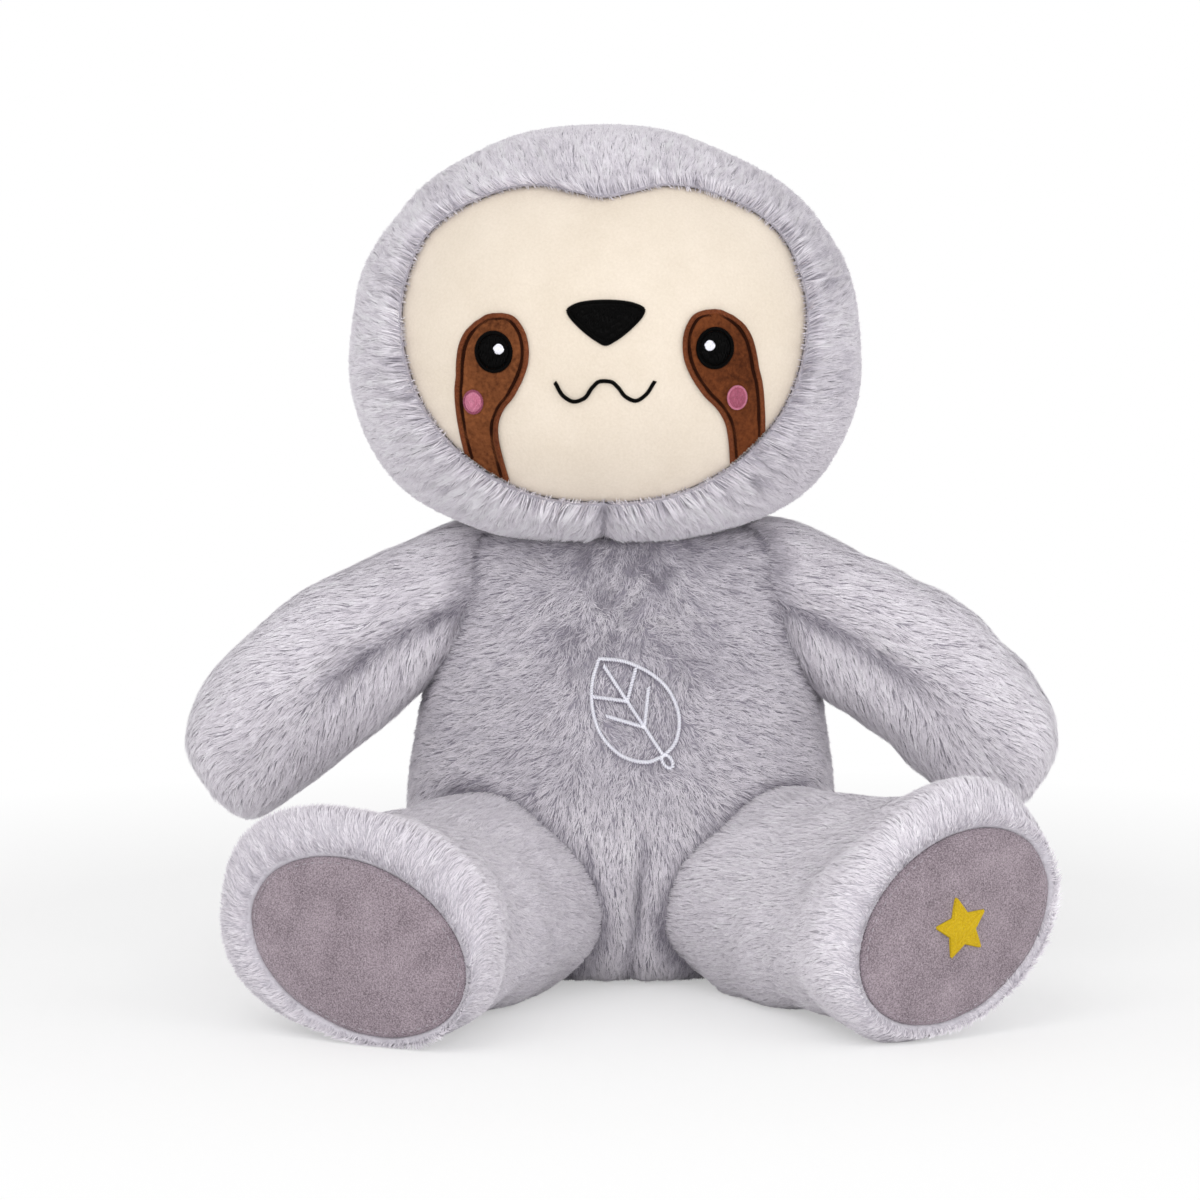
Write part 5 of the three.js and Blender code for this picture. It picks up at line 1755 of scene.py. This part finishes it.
def make_arm(name, side):
    place = arm_frame(side)
    fix = across_joint(place, ARM_JOINT_SPAN)
    nodes = [f"arm_skin_{name}", f"arm_stuffing_{name}"]
    centre = to_world(np.array([ARM_LENGTH / 2, 0, 0]), place)
    places, out, _, chance = clothe("arm", f"_{name}", arm_rings(side), centre, fix, nodes, side)
    to_body = body_gap(places)
    keep = (to_body > INTO_BODY) & (head_gap(places) > INTO_HEAD)
    places, out, to_body = places[keep], out[keep], to_body[keep]
    flow, from_seam, share = arm_flow(places, side)
    run = smoothstep(share, *ARM_ROOT_BAND) * (1 - ARM_PAW_SHARE * smoothstep(share, *ARM_PAW_BAND))
    seam = hill(from_seam, ARM_SEAM_REACH) * run
    length = PILE_LENGTH * mixed(ARM_LENGTHS, seam=seam)
    lift = mixed(ARM_LIFTS, seam=hill(from_seam, ARM_LIFT_REACH))
    away = smoothstep(from_seam, *ARM_AWAY_BAND)
    # Painted shade in the seam's cleft and by the body, painted light away from the seam
    tone = mixed(ARM_TONES, seam=seam, away=away, body=neighbour_shade(to_body, CREASE_REACH))
    contrast = mixed(ARM_CONTRASTS, seam=hill(from_seam, ARM_CONTRAST_REACH) * run)
    grow_fur("arm", f"_{name}", places, out, flow, length, lift, tone, contrast, chance, fix)


# Legs

def leg_rings(leg):
    """Rings from inside the edge of the sole, round the foot's rim and back to the hip."""
    angle = round_angles(LEG_CORNERS)
    middle = sole_middle(leg)
    stations = []
    for grow, back in SOLE_RIMS:
        y, z = sole_oval(leg, grow, angle)
        x = np.full_like(y, LEG_LENGTH - SOLE_SINK - back)
        stations.append(np.stack([x, y + middle[0], z + middle[1]], axis=1))
    for row in LEG_ROWS[::-1]:
        stations.append(leg_ring(leg, *row, angle))
    rim = len(SOLE_RIMS)
    stations[rim] = (stations[rim] + stations[rim - 1]) / 2
    stack = np.stack(stations)
    fine = np.stack([smooth(stack[:, k], LEG_RINGS) for k in range(len(angle))], axis=1)
    rings = []
    for ring in fine:
        way = unit((ring - ring.mean(axis=0)) * (0, 1, 1))
        soft = smoothstep(LEG_LENGTH - ring[:, :1], *LEG_RIPPLE_BAND)
        ring = ring + way * (ripple(ring, "leg", leg["side"]) - PILE_BED)[:, None] * soft
        world = to_world(ring, leg_frame(leg))
        world[:, 2] = np.maximum(world[:, 2], 0)
        rings.append(world)
    return rings


def beyond_sole(local, leg):
    """About how far places on a leg lie from the edge of its sole."""
    beyond = past_ring(local[:, 1:], sole_outline(leg, 0, SOLE_RIM_CORNERS), sole_middle(leg))
    return np.maximum(beyond, 0) + np.maximum(LEG_LENGTH - SOLE_RIM_DEPTH - local[:, 0], 0)


def under_sole(local, leg):
    """Which places on a leg its sole covers."""
    covered = within(sole_outline(leg, SOLE_BARE_GROW, SOLE_BARE_CORNERS), local[:, 1:])
    return covered & (local[:, 0] > LEG_LENGTH - SOLE_BARE_DEPTH)


def make_leg(name, leg):
    rings = leg_rings(leg)
    place = leg_frame(leg)
    fix = across_joint(place, LEG_JOINT_SPAN)
    nodes = [f"leg_skin_{name}", f"leg_stuffing_{name}"]
    centre = to_world(np.array([LEG_LENGTH / 2, 0, 0]), place)
    places, out, at, chance = clothe("leg", f"_{name}", rings, centre, fix, nodes, leg["side"])
    to_body = body_gap(places)
    local = to_local(places, place)
    keep = (to_body > INTO_BODY) & (places[:, 2] > LEG_ABOVE_FLOOR) & ~under_sole(local, leg)
    flow = spread(ring_flow(rings), *at)[keep]
    places, out, to_body, local = places[keep], out[keep], to_body[keep], local[keep]
    from_sole = beyond_sole(local, leg)
    flow[:, 2] -= LEG_DROP_FLOW * smoothstep(from_sole, *LEG_DROP_BAND)
    on_rim = falling(from_sole, *LEG_RIM_BAND)
    by_sole = np.exp(-from_sole / LEG_RIM_REACH)
    length = PILE_LENGTH * mixed(LEG_LENGTHS, rim=on_rim)
    lift = mixed(LEG_LIFTS, rim=by_sole)
    turn_back(from_sole < LEG_OVER_REACH, flow, length, chance)
    # Painted shade by the sole's edge and where the leg meets the body
    tone = mixed(
        dict(plain=leg["tone"], **LEG_TONES), edge=np.exp(-from_sole / LEG_EDGE_SHADE_REACH),
        body=neighbour_shade(to_body, CREASE_REACH), rim=on_rim,
    )
    contrast = mixed(LEG_CONTRASTS, rim=by_sole)
    grow_fur("leg", f"_{name}", places, out, flow, length, lift, tone, contrast, chance, fix)
    make_sole(name, leg)


def make_sole(name, leg):
    surface = sole_at(leg)
    wander = puckered("sole", (0, 0), SOLE_PUCKERS, SOLE_PUCKER_DEPTH, SOLE_PUCKER_REACH)
    outline = sole_outline(leg, SOLE_GROW, SOLE_CORNERS)
    pad = padded_disc(outline, surface, SOLE_RINGS, SOLE_EDGE, SOLE_EDGE_DROP, wander)
    body = f"leg_{name}"
    nodes = [f"foot_pad_{name}"]
    sew(f"sole_velour_{name}", pad, "grey_velour", body, "grey_velour", nodes, FILLS["sole"])
    seam = running_stitch(sole_outline(leg, -SOLE_SEAM_INSET, SOLE_SEAM_CORNERS), surface)
    sew(f"sole_stitching_{name}", seam, "pad_thread", body, "grey_velour")
    if name == "right":
        make_star(leg, surface)


def running_stitch(line, surface):
    closed = looped(line)
    count = int(line_length(closed) / (RUNNING_STITCH + RUNNING_SPACE))
    at = spaced(closed, count * RUNNING_STEPS, True).reshape(count, RUNNING_STEPS, 2)
    keep = int(round(RUNNING_STEPS * RUNNING_STITCH / (RUNNING_STITCH + RUNNING_SPACE)))
    flat = at[:, :keep]
    rise = RUNNING_RISE * np.sin(np.linspace(0, np.pi, keep)) - RUNNING_SINK
    return tubes(flat, np.broadcast_to(rise, flat.shape[:2]), surface, RUNNING_RADIUS)


def make_star(leg, surface):
    corner = np.arange(2 * STAR_POINTS)
    angle = np.pi * corner / STAR_POINTS + np.pi / 2 + math.radians(STAR_TURN)
    reach = np.where(corner % 2, STAR_INNER_SHARE, 1) * STAR_RADIUS * STAR_STITCHED_SHARE
    corners = sole_middle(leg) + np.stack([reach * np.cos(angle), reach * np.sin(angle)], axis=1)
    edge = spaced(looped(corners), STAR_CORNERS, True)
    made = joined([
        filled("star", edge, surface, seed=STAR_SEED), satin("star", edge, surface, closed=True),
    ])
    sew("star_stitching", made, "yellow_thread", "leg_right", "yellow_thread", ["foot_star"])


# Studio

def seen_rays(tree):
    """One where a ray comes from the camera or through a gloss or glass, and zero elsewhere."""
    ray = node(tree, "LightPath", {})
    first = node(tree, "Math", {0: ray["Is Camera Ray"], 1: ray["Is Glossy Ray"]}, "MAXIMUM")["Value"]
    return node(tree, "Math", {0: first, 1: ray["Is Transmission Ray"]}, "MAXIMUM")["Value"]


def make_floor():
    material, surface = shader("floor", *FLOOR_FINISH)
    tree = material.node_tree
    surface.inputs["Base Color"].default_value = (FLOOR_WHITE, FLOOR_WHITE, FLOOR_WHITE, 1)
    place = node(tree, "NewGeometry", {})["Position"]
    away = node(tree, "VectorMath", {0: place}, "LENGTH")["Value"]
    near, far = FLOOR_FADE
    fade = node(tree, "MapRange", {
        "Value": away, "From Min": near, "From Max": far, "To Min": FLOOR_LEAST_GLOW,
    })["Result"]
    seen = node(tree, "Math", {0: fade, 1: seen_rays(tree)}, "MULTIPLY")["Value"]
    glow = node(tree, "Emission", {})["Emission"]
    mix = node(tree, "MixShader", {"Fac": seen, 1: surface.outputs["BSDF"], 2: glow})["Shader"]
    tree.links.new(mix, tree.nodes["Material Output"].inputs["Surface"])
    corners = [(x * FLOOR_REACH, y * FLOOR_REACH, FLOOR_Z) for x, y in ((-1, -1), (1, -1), (1, 1), (-1, 1))]
    mesh_object("floor", np.array(corners), [np.arange(4)[None]], [material])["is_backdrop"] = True


def make_world():
    world = bpy.data.worlds.new("studio")
    world.use_nodes = True
    bpy.context.scene.world = world
    tree = world.node_tree
    lit = tree.nodes["Background"]
    lit.inputs["Strength"].default_value = WORLD_STRENGTH
    lit.inputs["Color"].default_value = (1, 1, 1, 1)
    white = node(tree, "Background", {"Color": (1, 1, 1, 1)})["Background"]
    mix = node(tree, "MixShader", {"Fac": seen_rays(tree), 1: lit.outputs["Background"], 2: white})
    tree.links.new(mix["Shader"], tree.nodes["World Output"].inputs["Surface"])


def link_object(name, data):
    made = bpy.data.objects.new(name, data)
    bpy.context.scene.collection.objects.link(made)
    return made


def make_lamp(name, place, size, power):
    light = bpy.data.lights.new(name, "AREA")
    light.size = size / METRE
    light.energy = power
    lamp = link_object(name, light)
    lamp.location = Vector(place) / METRE
    aim = Vector(LAMP_TARGET) - Vector(place)
    lamp.rotation_euler = aim.to_track_quat("-Z", "Y").to_euler()


def make_camera():
    data = bpy.data.cameras.new("camera")
    data.sensor_width = SENSOR
    data.lens = SENSOR * VIEW_DISTANCE / VIEW_SPAN
    data.clip_end = VIEW_END
    camera = link_object("camera", data)
    rise = math.radians(VIEW_ELEVATION)
    back = Vector((0, -math.cos(rise), math.sin(rise))) * VIEW_DISTANCE / METRE
    camera.location = Vector(VIEW_TARGET) / METRE + back
    camera.rotation_euler = (-back).to_track_quat("-Z", "Y").to_euler()
    bpy.context.scene.camera = camera


def write_size():
    boxes = {"cad": cad_box, "visual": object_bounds()}
    plain_boxes = {name: [[float(v) for v in corner] for corner in box] for name, box in boxes.items()}


MATERIALS = make_materials()
make_camera()
make_floor()
make_world()
for lamp_name, lamp in LAMPS.items():
    make_lamp(lamp_name, *lamp)
make_head()
make_face()
make_body()
for side_name, side in SIDES.items():
    make_arm(side_name, side)
for leg_name, leg in LEGS.items():
    make_leg(leg_name, leg)
bpy.context.scene.view_settings.view_transform = "Standard"
write_size()
